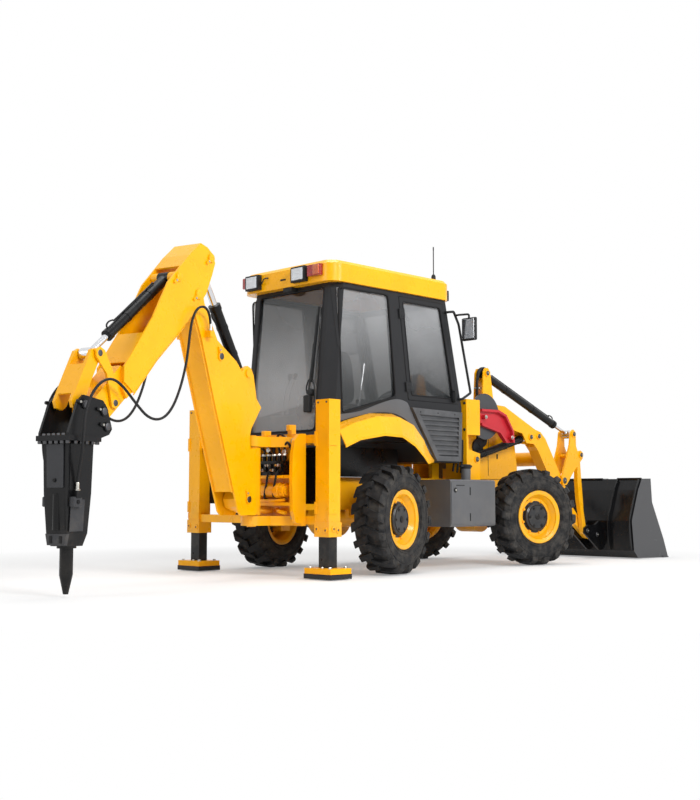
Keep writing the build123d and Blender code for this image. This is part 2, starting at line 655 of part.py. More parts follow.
# lamps let into the roof's end faces: sides, distance ahead of the rear axle, heights above the cab
work_lamp_places = (
    ((320, 500), (ROOF_REAR - 46, ROOF_REAR + 20), (22, 160)),
    ((-310, -130), (ROOF_REAR - 46, ROOF_REAR + 20), (22, 160)),
    ((-520, -370), (ROOF_FRONT - 30, ROOF_FRONT + 52), (20, 120)),
    ((370, 520), (ROOF_FRONT - 30, ROOF_FRONT + 52), (20, 120)),
)
tail_lamp_places = (
    ((-500, -340), (ROOF_REAR - 40, ROOF_REAR + 30), (52, 152)),
    ((512, 560), (ROOF_REAR - 26, ROOF_REAR + 60), (52, 152)),
)


def lamp_block(place):
    """A lamp's housing from its row in the tables above."""
    y_range, x_range, z_range = place
    return block([fwd(x) for x in x_range], y_range, [CAB_TOP_Z + z for z in z_range])


with BuildPart() as roof:
    with BuildSketch(Plane.XY.offset(CAB_TOP_Z)):
        with Locations((fwd((ROOF_REAR + ROOF_FRONT) / 2), 0)):
            RectangleRounded(ROOF_FRONT - ROOF_REAR, 2 * ROOF_HALF, ROOF_CORNER)
    extrude(amount=ROOF_TOP_Z - CAB_TOP_Z)
    chamfer(roof.faces().sort_by(Axis.Z)[-1].edges(), 30)
    add(block((fwd(-400), fwd(900)), (-470, 470), (CAB_TOP_Z - 5, ROOF_TOP_Z - 60)), mode=Mode.SUBTRACT)
    for place in work_lamp_places + tail_lamp_places:
        add(lamp_block(place), mode=Mode.SUBTRACT)
keep(roof, "roof")

def hinge_leaf(level, head, foot, side):
    """One door hinge: a knuckle on the leaning hinge line and a leaf that lies on the door's frame."""
    place = wall_x(level, foot, head) - HINGE_BACK
    rise = hypot(head[0] - foot[0], head[1] - foot[1])
    lean = (head[0] - foot[0]) / rise, (head[1] - foot[1]) / rise
    low, high = sorted((side * (CAB_HALF + SEAT_GAP), side * (CAB_HALF + 2 * HINGE_RADIUS)))
    corners = [(place + along * lean[0] + across * lean[1], level + along * lean[1] - across * lean[0])
               for along, across in ((-40, 0), (-40, 60), (40, 60), (40, 0))]
    start = left.from_local_coords((place - 40 * lean[0], level - 40 * lean[1], side * (CAB_HALF + HINGE_RADIUS + SEAT_GAP)))
    with BuildPart() as leaf:
        add(slab(left, corners, low, high))
        with BuildSketch(Plane(origin=start, x_dir=left.z_dir, z_dir=left.x_dir * lean[0] + left.y_dir * lean[1])):
            Circle(HINGE_RADIUS)
        extrude(amount=80)
    return leaf.part


# framed sash on the right and full door on the left: outline, swing side, hinge heights
door_gap = 6
frame_wide = 42
with BuildPart() as door_right:
    add(slab(left, grown(sash_opening, -door_gap), CAB_HALF - 34, CAB_HALF + 4))
    add(slab(left, grown(sash_opening, -door_gap - frame_wide), CAB_HALF - 50, CAB_HALF + 20), mode=Mode.SUBTRACT)
    add(slab(left, grown(sash_opening, -door_gap - frame_wide + 0.5), CAB_HALF - 18 - GLASS, CAB_HALF - 18))
    add(slab(left, ((1080, 1610), (1126, 1610), (1120, 1690), (1074, 1690)), CAB_HALF + 4, CAB_HALF + 30))
    for level in (1700, 2380):
        add(hinge_leaf(level, sash_opening[0], sash_opening[3], 1))
keep(door_right, "door_right")

with BuildPart() as door_left:
    add(slab(left, grown(door_opening, -door_gap), -CAB_HALF - 4, -CAB_HALF + 34))
    add(slab(left, grown(sash_opening, -door_gap - frame_wide), -CAB_HALF - 20, -CAB_HALF + 50), mode=Mode.SUBTRACT)
    add(slab(left, grown(sash_opening, -door_gap - frame_wide + 0.5), -CAB_HALF + 18, -CAB_HALF + 18 + GLASS))
    add(slab(left, ((1060, 1420), (1130, 1420), (1130, 1450), (1060, 1450)), -CAB_HALF - 34, -CAB_HALF))
    for level in (1700, 2380):
        add(hinge_leaf(level, door_opening[0], door_opening[6], -1))
keep(door_left, "door_left")

louvre_outline = ((835, 1022), (1195, 1022), (1212, 1500), (485, 1512))
louvre_window = ((870, 1070), (1150, 1070), (1165, 1445), (590, 1452))
with BuildPart() as louvre_panel:
    add(slab(left, louvre_outline, CAB_HALF + SEAT_GAP, CAB_HALF + 32))
    add(slab(left, louvre_window, CAB_HALF + 10, CAB_HALF + 40), mode=Mode.SUBTRACT)
    for step in range(8):
        level = 1082 + 46 * step
        start = wall_x(level, (870, 1070), (590, 1452)) - 4
        stop = wall_x(level, (1150, 1070), (1165, 1445)) + 4
        with BuildSketch(Plane(origin=(fwd(stop), 0, 0), x_dir=(0, -1, 0), z_dir=(-1, 0, 0))):
            with BuildLine():
                Polyline((CAB_HALF + 9, level + 22), (CAB_HALF + 9, level + 30), (CAB_HALF + 30, level + 8),
                         (CAB_HALF + 30, level), close=True)
            make_face()
        extrude(amount=stop - start)
keep(louvre_panel, "louvre_panel")

# ---------------------------------------------------------------- fenders
# each arch: distance out from the centre line, then points ahead of the rear axle and heights
fender_arches = (
    (CAB_HALF + SEAT_GAP, ((-560, 1285), (-380, 1350), (-70, 1430), (230, 1440), (430, 1385), (600, 1240), (826, 1030))),
    (720, ((-575, 1250), (-390, 1325), (-90, 1396), (190, 1398), (380, 1335), (520, 1205), (640, 1020))),
    (812, ((-590, 1120), (-410, 1190), (-100, 1240), (130, 1232), (300, 1155), (420, 1060), (480, 1000))),
)
fender_thick = 22
with BuildPart() as fender_side:
    for index in (0, 1):
        for y, points in fender_arches[index:index + 2]:
            under = [(x, z - fender_thick) for x, z in reversed(points)]
            with BuildSketch(left.offset(-y)):
                with BuildLine():
                    Polyline(*points, *under, close=True)
                make_face()
        loft(ruled=True)
with BuildPart() as rear_fenders:
    add(fender_side.part)
    mirror(fender_side.part, about=Plane.XZ)
keep(rear_fenders, "rear_fenders")

# ---------------------------------------------------------------- tanks, bonnet, inside the cab
with BuildPart() as side_tanks:
    for side in (1, -1):
        low, high = sorted((side * (RAIL_Y + RAIL_THICK + SEAT_GAP), side * TANK_OUT))
        add(block((fwd(TANK_REAR), fwd(TANK_FRONT)), (low, high), (400, 845)))
    chamfer(side_tanks.edges().filter_by(Axis.X).filter_by(lambda edge: abs(edge.center().Y) > 700), 14)
    with Locations((fwd(TANK_FRONT - 275), -640, 905)):
        Cylinder(46, 120)
keep(side_tanks, "side_tanks")

bonnet_outline = ((1556, RAIL_TOP + SEAT_GAP), (1556, 1405), (1640, 1410), (2330, 1335), (2400, 1240), (2440, 1000), (2440, 870))
bonnet_inside = ((1500, RAIL_TOP), (1500, 1391), (1640, 1396), (2322, 1322), (2386, 1236), (2424, 1000), (2424, 700))
with BuildPart() as bonnet:
    add(slab(left, bonnet_outline, -345, 345))
    add(slab(left, bonnet_inside, -331, 331), mode=Mode.SUBTRACT)
    for step in range(7):
        level = 905 + 42 * step
        add(block((fwd(2300), fwd(2500)), (-250, 250), (level, level + 22)), mode=Mode.SUBTRACT)
    for low, high in ((-170, -110), (110, 170)):
        add(disc(left, BONNET_HINGE, HINGE_RADIUS, low, high))
keep(bonnet, "bonnet")

with BuildPart() as seat:
    add(block((fwd(60), fwd(460)), (-210, 210), (CAB_STEP_Z + CAB_WALL + SEAT_GAP, 1430)))
    add(block((fwd(20), fwd(520)), (-250, 250), (1430, 1540)))
    add(slab(left, ((20, 1540), (150, 1540), (60, 2060), (-60, 2060)), -240, 240))
keep(seat, "seat")

with BuildPart() as controls:
    add(slab(left, ((930, CAB_FLOOR_Z + CAB_WALL + SEAT_GAP), (1100, CAB_FLOOR_Z + CAB_WALL + SEAT_GAP), (1130, 1500),
                    (1010, 1560)), -150, 150))
    with BuildSketch(Plane(origin=(fwd(1000), 0, 1540), z_dir=(-0.5, 0, 0.866))):
        Circle(28)
    extrude(amount=160)
    with BuildSketch(Plane(origin=(fwd(920), 0, 1678), z_dir=(-0.5, 0, 0.866))):
        Circle(190)
        Circle(165, mode=Mode.SUBTRACT)
        Rectangle(60, 350)
    extrude(amount=22)
keep(controls, "controls")

# ---------------------------------------------------------------- rear frame and stabilisers
with BuildPart() as rear_frame:
    for side in (1, -1):
        low, high = side * STAB_Y - STAB_BREADTH / 2, side * STAB_Y + STAB_BREADTH / 2
        x_low, x_high = fwd(STAB_X - STAB_DEPTH / 2), fwd(STAB_X + STAB_DEPTH / 2)
        add(block((x_low, x_high), (low, high), (STAB_LOW_Z, STAB_TOP_Z)))
        add(block((x_low - 8, x_high + 8), (low - 8, high + 8), (STAB_LOW_Z, 470)))
        for foot, head in ((540, 640), (1105, 1225)):
            add(block((x_low - 8, x_high - 40), (low - 8, low + 20), (foot, head)))
            add(block((x_low - 8, x_high - 40), (high - 20, high + 8), (foot, head)))
    for low, high in (FRAME_RAIL_LOW, FRAME_RAIL_HIGH):
        add(block((fwd(-900), fwd(-820)), (-STAB_Y + 70, STAB_Y - 70), (low, high)))
    for side in (1, -1):
        add(block((fwd(-820), fwd(RAIL_REAR)), sorted((side * 250, side * 335)), (450, 1200)))
        add(block((x_low + STAB_WALL, x_high - STAB_WALL),
                  (side * STAB_Y - STAB_BREADTH / 2 + STAB_WALL, side * STAB_Y + STAB_BREADTH / 2 - STAB_WALL),
                  (STAB_LOW_Z - 5, STAB_TOP_Z - 16)), mode=Mode.SUBTRACT)
keep(rear_frame, "rear_frame")

leg_size = (STAB_DEPTH - 2 * STAB_WALL - 2 * LEG_GAP, STAB_BREADTH - 2 * STAB_WALL - 2 * LEG_GAP)
for side, name in ((1, "left"), (-1, "right")):
    pad_top = PAD_Z + PAD_SOLE + PAD_THICK
    with BuildPart() as leg:
        with Locations((fwd(STAB_X), side * STAB_Y, (pad_top + 1180) / 2)):
            Box(leg_size[0], leg_size[1], 1180 - pad_top)
        with Locations((fwd(STAB_X), side * STAB_Y, 1130)):
            Box(leg_size[0] + 2 * LEG_GAP - 2 * SEAT_GAP, leg_size[1] + 2 * LEG_GAP - 2 * SEAT_GAP, 100)
        with Locations((fwd(STAB_X), side * STAB_Y, PAD_Z + PAD_SOLE + PAD_THICK / 2)):
            Box(PAD_LENGTH, PAD_BREADTH, PAD_THICK)
        with Locations((fwd(STAB_X), side * STAB_Y, PAD_Z + PAD_SOLE / 2)):
            Box(PAD_LENGTH + 8, PAD_BREADTH + 8, PAD_SOLE)
    keep(leg, "stabiliser_leg_" + name)

# ---------------------------------------------------------------- backhoe carriage and kingpost
kx = REAR_AXLE_X + KINGPOST_X
FLANGE_THICK = 38
flange_outline = (
    (CARRIAGE_BACK + 2, 452), (CARRIAGE_BACK - 62, 466), (CARRIAGE_BACK - 96, 560), (CARRIAGE_BACK - 104, 800),
    (CARRIAGE_BACK - 100, 1020), (CARRIAGE_BACK - 76, 1150), (CARRIAGE_BACK - 30, 1205), (CARRIAGE_BACK + 2, 1210),
)
with BuildPart() as carriage:
    plate_x = (fwd(CARRIAGE_BACK), fwd(CARRIAGE_BACK) + CARRIAGE_THICK)
    add(block(plate_x, (CARRIAGE_Y - CARRIAGE_HALF, CARRIAGE_Y + CARRIAGE_HALF), (FRAME_RAIL_LOW[0] - 12, 1210)))
    for low, high in (YOKE_LOW, YOKE_HIGH):
        with BuildSketch(Plane.XY.offset(low)):
            with BuildLine():
                Polyline((plate_x[0] + 1, CARRIAGE_Y - 240), (kx + 130, CARRIAGE_Y - 94), (kx, CARRIAGE_Y - 88),
                         (kx, CARRIAGE_Y + 88), (kx + 130, CARRIAGE_Y + 94), (plate_x[0] + 1, CARRIAGE_Y + 240),
                         close=True)
            make_face()
            with Locations((kx, CARRIAGE_Y)):
                Circle(88)
        extrude(amount=high - low)
    for side in (1, -1):
        edge = sorted((-CARRIAGE_Y + side * CARRIAGE_HALF, -CARRIAGE_Y + side * (CARRIAGE_HALF - FLANGE_THICK)))
        add(slab(left, flange_outline, *edge))
        for tall in (510, 1150):
            with BuildSketch(Plane(origin=(plate_x[0], CARRIAGE_Y + side * 240, tall), z_dir=(-1, 0, 0))):
                Circle(30)
            extrude(amount=16)
    for low, high, deep in ((836, 862, 92), (606, 634, 96)):
        add(block((plate_x[0] - deep, plate_x[0] + 1), (CARRIAGE_Y - CARRIAGE_HALF + 5, CARRIAGE_Y + CARRIAGE_HALF - 5),
                  (low, high)))
    with BuildSketch(Plane(origin=(plate_x[0] - 56, CARRIAGE_Y - 205, 735), z_dir=(0, 1, 0))):
        Circle(58)
    extrude(amount=410)
    with BuildSketch(Plane(origin=(plate_x[0] - 56, CARRIAGE_Y - 232, 735), z_dir=(0, 1, 0))):
        Circle(44)
    extrude(amount=464)
    add(block((plate_x[0], plate_x[1]), (CARRIAGE_Y - 200, CARRIAGE_Y - 150), (1200, 1290)))
    add(block((plate_x[0], plate_x[1]), (CARRIAGE_Y + 120, CARRIAGE_Y + 170), (1200, 1250)))
    with Locations((kx, CARRIAGE_Y, 800)):
        Cylinder(38 + RUNNING, 900, mode=Mode.SUBTRACT)
keep(carriage, "carriage")

# block of valves and pipe stubs on the carriage's upper shelf
with BuildPart() as valves:
    add(block((plate_x[0] - 84, plate_x[0] - SEAT_GAP), (CARRIAGE_Y - 190, CARRIAGE_Y + 190), (862 + SEAT_GAP, 985)))
    for step in range(6):
        with Locations((plate_x[0] - 44, CARRIAGE_Y - 160 + 64 * step, 1005)):
            Cylinder(19, 60)
        add(block((plate_x[0] - 98, plate_x[0] - 80), (CARRIAGE_Y - 176 + 64 * step, CARRIAGE_Y - 144 + 64 * step),
                  (890, 960)))
keep(valves, "carriage_valves")

with BuildPart() as kingpost:
    middle = (YOKE_LOW[1] + YOKE_HIGH[0]) / 2
    tall = YOKE_HIGH[0] - YOKE_LOW[1] - 2 * SIDE_GAP
    with Locations((kx, CARRIAGE_Y, middle)):
        Cylinder(KINGPOST_RADIUS, tall)
    with Locations((kx, CARRIAGE_Y, (YOKE_LOW[0] + YOKE_HIGH[1]) / 2)):
        Cylinder(38, YOKE_HIGH[1] - YOKE_LOW[0] + 20)
    add(slab(BACKHOE, ((0, middle - tall / 2), (200, 572), (262, 598), (288, 660), (262, 722), (222, 770),
                       (228, 990), (208, 1046), (150, 1076), (0, 1090)), -KINGPOST_HALF, KINGPOST_HALF))
    add(slab(BACKHOE, ((78, 1110), (78, 900), (260, 820), (260, 1110)), -58, 58), mode=Mode.SUBTRACT)
    add(disc(BACKHOE, BOOM_RAM_BASE, PIN, -58, 58))
    add(disc(BACKHOE, BOOM_FOOT, FOOT_PIN + RUNNING, -90, 90), mode=Mode.SUBTRACT)
keep(kingpost, "kingpost")


def plates(outline, inner, outer):
    """The same side plate on both sides of the backhoe's middle plane."""
    with BuildPart() as pair:
        add(slab(BACKHOE, outline, inner, outer))
        add(slab(BACKHOE, outline, -outer, -inner))
    return pair.part


def heads(place, face, radius):
    """Round pin heads outside both faces."""
    with BuildPart() as pair:
        add(disc(BACKHOE, place, radius, face, face + BOLT_HEAD))
        add(disc(BACKHOE, place, radius, -face - BOLT_HEAD, -face))
    return pair.part


def web(points, thick, half):
    """A bent plate along the given line, laid to its left, between the side plates."""
    inner = []
    for i, (x, z) in enumerate(points):
        before, after = points[max(i - 1, 0)], points[min(i + 1, len(points) - 1)]
        length = hypot(after[0] - before[0], after[1] - before[1])
        inner.append((x - (after[1] - before[1]) / length * thick, z + (after[0] - before[0]) / length * thick))
    return slab(BACKHOE, list(points) + inner[::-1], -half, half)


# breaker hoses, one each side: distance behind the kingpost, height, distance from the boom's middle plane
HOSE_RADIUS = 10
HOSE_ROUTE = (
    (775, 1980, 150), (775, 2058, 150), (830, 2125, 170), (905, 2155, 187), (988, 2130, 187), (1045, 2050, 187),
    (1075, 1940, 187), (1093, 1815, 187), (1122, 1670, 187), (1185, 1490, 187), (1280, 1325, 187), (1400, 1240, 187),
    (1545, 1245, 187), (1690, 1350, 187), (1815, 1455, 187), (1930, 1505, 187), (2045, 1470, 187), (2135, 1375, 187),
    (2190, 1240, 187), (2203, 1100, 189), (2205, 980, 180), (2200, 875, 155), (2195, 790, 133), (2195, 720, 133),
)
FITTING = 24                   # half width of a hose fitting

# ---------------------------------------------------------------- boom
boom_outline = (
    (100, 528), (300, 530), (336, 560), (629, 1344), (838, 1925), (968, 2200), (974, 2270), (907, 2318),
    (830, 2296), (804, 2196), (631, 1924), (373, 1778), (23, 1426), (163, 1239), (186, 1161), (79, 560),
)
ear_outline = ((60, 1460), (112, 1690), (145, 1742), (200, 1762), (250, 1735), (300, 1690))
boom_inner = BOOM_HALF - BOOM_PLATE
with BuildPart() as boom:
    add(plates(boom_outline, boom_inner, BOOM_HALF))
    add(plates(ear_outline, 60, boom_inner))
    add(web(((392, 720), (629, 1344), (838, 1925), (925, 2108)), 14, boom_inner))
    add(web(((330, 1735), (40, 1440)), 14, boom_inner))
    add(web(((804, 2190), (640, 1932)), 14, boom_inner))
    add(disc(BACKHOE, DIPPER_PIVOT, 78, -BOOM_HALF, BOOM_HALF))
    add(disc(BACKHOE, DIPPER_PIVOT, FOOT_PIN + RUNNING, -200, 200), mode=Mode.SUBTRACT)
    add(disc(BACKHOE, BOOM_FOOT, FOOT_PIN, -boom_inner, boom_inner))
    add(disc(BACKHOE, DIPPER_RAM_BASE, PIN, -60, 60))
    for pin in (BOOM_FOOT, BOOM_RAM_EYE, DIPPER_RAM_BASE):
        add(heads(pin, BOOM_HALF if pin != DIPPER_RAM_BASE else boom_inner, 36))
    add(disc(BACKHOE, BOOM_RAM_EYE, 44, 52 + SEAT_GAP, boom_inner))
    add(disc(BACKHOE, BOOM_RAM_EYE, 44, -boom_inner, -52 - SEAT_GAP))
    out, tall, wide = HOSE_ROUTE[0]
    fitting = ((out - FITTING, tall - 50), (out + FITTING, tall - 50), (out + FITTING, tall), (out - FITTING, tall))
    add(plates(fitting, boom_inner, wide + FITTING - 6))
keep(boom, "boom")

boom_barrel, boom_rod = ram_pair(BACKHOE, BOOM_RAM_BASE, BOOM_RAM_EYE, closed=890, out=530, bore=49, rod=28, width=104)
dipper_barrel, dipper_rod = ram_pair(
    BACKHOE, DIPPER_RAM_BASE, DIPPER_RAM_EYE, closed=705, out=115, bore=46, rod=28, width=104)
tool_barrel, tool_rod = ram_pair(
    BACKHOE, TOOL_RAM_BASE, TOOL_LEVER_TOP, closed=890, out=302, bore=40, rod=24, width=100)
for part, name in ((boom_barrel, "boom_ram_barrel"), (boom_rod, "boom_ram_rod"),
                   (dipper_barrel, "dipper_ram_barrel"), (dipper_rod, "dipper_ram_rod"),
                   (tool_barrel, "tool_ram_barrel"), (tool_rod, "tool_ram_rod")):
    with BuildPart() as ram:
        add(part)
    keep(ram, name)

# ---------------------------------------------------------------- dipper
dipper_outline = (
    (886, 2661), (800, 2642), (722, 2594), (700, 2530), (735, 2437), (811, 2270), (980, 2073), (1389, 1698),
    (1640, 1424), (1746, 1498), (1746, 1608), (1447, 1999), (1278, 2289), (1026, 2544),
)
tip_outline = (
    (1580, 1490), (1700, 1369), (1871, 1215), (1930, 1204), (1990, 1204), (2030, 1262), (2028, 1330), (1860, 1500),
    (1740, 1616),
)
dipper_inner = DIPPER_HALF - DIPPER_PLATE
with BuildPart() as dipper:
    add(plates(dipper_outline, dipper_inner, DIPPER_HALF))
    add(web(((1640, 1424), (1389, 1698), (1060, 2000)), -14, dipper_inner))
    add(web(((1540, 1877), (1720, 1642)), -14, dipper_inner))
    add(web(((886, 2661), (1026, 2544), (1130, 2440)), -14, dipper_inner))
    add(slab(BACKHOE, tip_outline, -TIP_HALF, TIP_HALF))
    add(slab(BACKHOE, ((1600, 1468), (1700, 1380), (1744, 1448), (1744, 1602), (1720, 1612)), -dipper_inner, dipper_inner))
    add(disc(BACKHOE, DIPPER_PIVOT, FOOT_PIN, -dipper_inner, dipper_inner))
    add(disc(BACKHOE, TOOL_RAM_BASE, PIN, -dipper_inner, dipper_inner))
    for place, radius in ((TOOL_RAM_BASE, 44), (DIPPER_RAM_EYE, 50)):
        add(disc(BACKHOE, place, radius, 52 + SEAT_GAP, dipper_inner))
        add(disc(BACKHOE, place, radius, -dipper_inner, -52 - SEAT_GAP))
        add(heads(place, DIPPER_HALF, 36))
    add(heads(DIPPER_PIVOT, DIPPER_HALF, 42))
    for place in (TOOL_LEVER_FOOT, TOOL_PIVOT):
        add(disc(BACKHOE, place, PIN + RUNNING, -200, 200), mode=Mode.SUBTRACT)
keep(dipper, "dipper")

# ---------------------------------------------------------------- tool linkage
lever_inner = TIP_HALF + SIDE_GAP
lever_plate = 18
tool_lever = (
    (1772, 1330), (1800, 1300), (1846, 1312), (1868, 1400), (1905, 1540), (2012, 1652), (2018, 1700), (1975, 1724),
    (1930, 1705), (1846, 1570), (1790, 1440),
)
with BuildPart() as tool_levers:
    add(plates(tool_lever, lever_inner, lever_inner + lever_plate))
    add(disc(BACKHOE, TOOL_LEVER_FOOT, PIN, -lever_inner, lever_inner))
    for low, high in ((-lever_inner, -50 - SEAT_GAP), (50 + SEAT_GAP, lever_inner)):
        add(disc(BACKHOE, TOOL_LEVER_TOP, PIN, low, high))
keep(tool_levers, "tool_levers")

link_bar = (
    (1937, 1680), (1975, 1718), (2040, 1700), (2125, 1530), (2222, 1330), (2205, 1285), (2150, 1272), (2112, 1302),
    (2040, 1470),
)
with BuildPart() as tool_link:
    add(plates(link_bar, 62, TIP_HALF))
    add(slab(BACKHOE, ((2080, 1592), (2092, 1598), (2196, 1384), (2184, 1378)), -62, 62))
    add(disc(BACKHOE, TOOL_LEVER_TOP, PIN + RUNNING, -100, 100), mode=Mode.SUBTRACT)
keep(tool_link, "tool_link")

# ---------------------------------------------------------------- breaker
ear_inner = lever_inner + lever_plate + SIDE_GAP
ear_outline = (
    (1872, 1150), (1890, 1205), (1925, 1300), (1965, 1345), (2110, 1366), (2160, 1372), (2215, 1320), (2296, 1110),
    (2296, 1080), (1990, 1080), (1900, 1110),
)
body_sections = ((1062, 240, 236), (700, 226, 220), (430, 196, 190), (345, 150, 150))
breaker_frame = Plane(origin=BACKHOE.from_local_coords((TOOL_AXIS, 0, 0)), x_dir=BACK_DIR, z_dir=(0, 0, 1))
with BuildPart() as breaker:
    add(plates(ear_outline, ear_inner, ear_inner + PLATE))
    add(slab(BACKHOE, ((1990, 1056), (2306, 1056), (2306, 1092), (1990, 1092)), -152, 152))
    add(disc(BACKHOE, TOOL_PIVOT, PIN, -ear_inner, ear_inner))
    for low, high in ((-ear_inner, -TIP_HALF - SIDE_GAP), (TIP_HALF + SIDE_GAP, ear_inner)):
        add(disc(BACKHOE, TOOL_LINK_PIN, 38, low, high))
    for place in (TOOL_PIVOT, TOOL_LINK_PIN, (1925, 1165)):
        add(heads(place, ear_inner + PLATE, 34))
    with BuildPart() as breaker_body:
        for height, depth, breadth in body_sections:
            with BuildSketch(breaker_frame.offset(height)):
                Rectangle(depth, breadth)
        loft(ruled=True)
    add(breaker_body.part)
    with BuildSketch(breaker_frame.offset(330)):
        Circle(66)
    extrude(amount=60)
    with BuildSketch(breaker_frame.offset(300)):
        Circle(46 + RUNNING)
    extrude(amount=200, mode=Mode.SUBTRACT)
    out, tall, wide = HOSE_ROUTE[-1]
    fitting = ((out - FITTING, tall - 50), (out + FITTING, tall - 50), (out + FITTING, tall), (out - FITTING, tall))
    add(plates(fitting, 100, wide + FITTING - 6))
keep(breaker, "breaker")


def bend_radii(points):
    """Radius at each corner of a route: 0.45 of its shorter run over the tangent of half its turn."""
    radii = []
    for before, corner, after in zip(points, points[1:], points[2:]):
        first, second = Vector(*corner) - Vector(*before), Vector(*after) - Vector(*corner)
        turn = radians(first.get_angle(second))
        radii.append(0.45 * min(first.length, second.length) / tan(turn / 2))
    return radii


for side, name in ((-1, "breaker_hose_right"), (1, "breaker_hose_left")):
    route = [tuple(BACKHOE.from_local_coords((out, tall, side * wide))) for out, tall, wide in HOSE_ROUTE]
    with BuildPart() as hose:
        with BuildLine() as path:
            FilletPolyline(*route, radius=bend_radii(route))
        with BuildSketch(Plane(origin=path.line @ 0, z_dir=path.line % 0)):
            Circle(HOSE_RADIUS)
        sweep()
    keep(hose, name)
    hose_length = sum(edge.length for edge in path.edges())
    print(name, "length", round(hose_length), "least radius", round(min(bend_radii(route))),
          "volume share", round(hose.part.volume / (pi * HOSE_RADIUS ** 2 * hose_length), 3))

with BuildPart() as chisel:
    with BuildSketch(Plane(origin=BACKHOE.from_local_coords((TOOL_AXIS, 0, 0)), x_dir=BACK_DIR, z_dir=SIDE_DIR)):
        with BuildLine():
            Polyline((0, CHISEL_TIP_Z), (18, CHISEL_TIP_Z), (46, 150), (46, 480), (0, 480), close=True)
        make_face()
    revolve(axis=Axis(BACKHOE.from_local_coords((TOOL_AXIS, 0, 0)), (0, 0, 1)))
keep(chisel, "chisel")

# ---------------------------------------------------------------- lamps, rails, aerial and strut
for places, name in ((work_lamp_places, "work_lamps"), (tail_lamp_places, "tail_lamps")):
    with BuildPart() as lamps:
        for place in places:
            add(lamp_block(place))
    keep(lamps, name)

rail_y = CAB_HALF + 46
with BuildPart() as rail_side:
    add(tube(((fwd(1000), -CAB_HALF - SEAT_GAP, 2464), (fwd(1000), -rail_y, 2464), (fwd(1074), -rail_y, 2476),
              (fwd(1149), -rail_y, 2359), (fwd(1325), -rail_y, 1698), (fwd(1195), -rail_y, 1630),
              (fwd(1195), -CAB_HALF - SEAT_GAP, 1630)), 12, 20))
    add(tube(((fwd(1090), -rail_y, 2440), (fwd(1090), -rail_y - 60, 2440), (fwd(1120), -780, 2440),
              (fwd(1120), -780, 2380)), 10, 16))
    add(block((fwd(1108), fwd(1142)), (-860, -700), (2190, 2400)))
with BuildPart() as mirrors:
    add(rail_side.part)
    mirror(rail_side.part, about=Plane.XZ)
keep(mirrors, "rails_and_mirrors")

with BuildPart() as antenna:
    with Locations((fwd(960), -470, ROOF_TOP_Z + 175)):
        Cylinder(5, 350)
    with Locations((fwd(960), -470, ROOF_TOP_Z + 15)):
        Cylinder(18, 30)
keep(antenna, "antenna")

with BuildPart() as strut_side:
    strut_in = arm_outer + GUARD_THICK + SEAT_GAP
    add(slab(left, ((1584, 1560), (1860, 1562), (1985, 1520), (2105, 1360), (2120, 1240), (1985, 1232), (1880, 1330),
                    (1584, 1396)), strut_in, strut_in + 8))
    add(slab(left, ((1584, 1560), (1860, 1562), (1985, 1520), (2105, 1360), (2120, 1240), (2096, 1238), (2082, 1352),
                    (1972, 1498), (1856, 1538), (1584, 1536)), strut_in + 8, strut_in + 46))
    add(slab(left, ((1584, 1420), (1890, 1352), (1996, 1256), (1985, 1232), (1880, 1330), (1584, 1396)),
             strut_in + 8, strut_in + 46))
    for place in ((1640, 1480), (2070, 1290)):
        add(disc(left, place, 22, strut_in + 8, strut_in + 52))
with BuildPart() as strut:
    add(strut_side.part)
keep(strut, "safety_strut")
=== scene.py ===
from math import cos, pi, radians, sin

import bmesh
import bpy
import numpy as np
from bpy.props import FloatProperty, FloatVectorProperty, IntProperty, PointerProperty
from mathutils import Euler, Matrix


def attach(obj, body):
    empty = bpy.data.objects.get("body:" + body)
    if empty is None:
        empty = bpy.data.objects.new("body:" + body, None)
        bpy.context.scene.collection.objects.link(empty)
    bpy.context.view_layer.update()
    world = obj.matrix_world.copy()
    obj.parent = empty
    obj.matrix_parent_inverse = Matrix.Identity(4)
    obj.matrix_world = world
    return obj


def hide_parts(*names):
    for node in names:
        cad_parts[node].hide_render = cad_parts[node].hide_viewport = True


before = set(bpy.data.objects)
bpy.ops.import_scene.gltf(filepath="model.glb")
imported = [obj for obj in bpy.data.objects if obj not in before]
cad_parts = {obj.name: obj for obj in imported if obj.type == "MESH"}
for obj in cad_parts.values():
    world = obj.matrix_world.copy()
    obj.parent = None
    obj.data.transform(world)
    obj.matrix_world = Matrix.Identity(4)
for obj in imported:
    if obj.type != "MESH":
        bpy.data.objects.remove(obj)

bl_info = {
    "name": "Backhoe Loader",
    "version": (1, 0, 0),
    "blender": (4, 5, 0),
    "location": "View3D > Sidebar > Backhoe Loader",
    "description": "Finishes, fasteners, hoses, seals and lamps for a packed backhoe loader",
    "category": "Object",
}

# ---------------------------------------------------------------- places shared with the frame, in metres
REAR_AXLE = -0.4845         # X of the rear axle; other places count ahead of it
WHEELBASE = 2.1
HUB_Z = 0.4825
KINGPIN = 0.725
WHEEL_OFFSET = 0.06
REAR_STEER = radians(13)
FRONT_STEER = radians(-14.5)
KINGPOST = -1.22
CARRIAGE_FACE = -0.95
CARRIAGE_Y = -0.32
SWING = radians(14)
ARM_FACE = 0.505            # outer face of a loader arm
STAB_X = -0.85
STAB_Y = 0.86
UP = np.array((0.0, 0.0, 1.0))
BACK = np.array((-cos(SWING), -sin(SWING), 0.0))    # along the boom, away from the cab
SIDE = np.array((-sin(SWING), cos(SWING), 0.0))     # square to the boom, towards the left
AHEAD = (1, 0, 0)
LEFT = (0, 1, 0)

# ---------------------------------------------------------------- colours in linear light
BLACK = (0.006, 0.0062, 0.007)
GLASS = (0.022, 0.026, 0.028)
# pale colour of the painted reflection on the window panes
GLASS_PAINTED_REFLECTION = (0.4, 0.41, 0.425)
HUB_DARK = (0.014, 0.0145, 0.016)


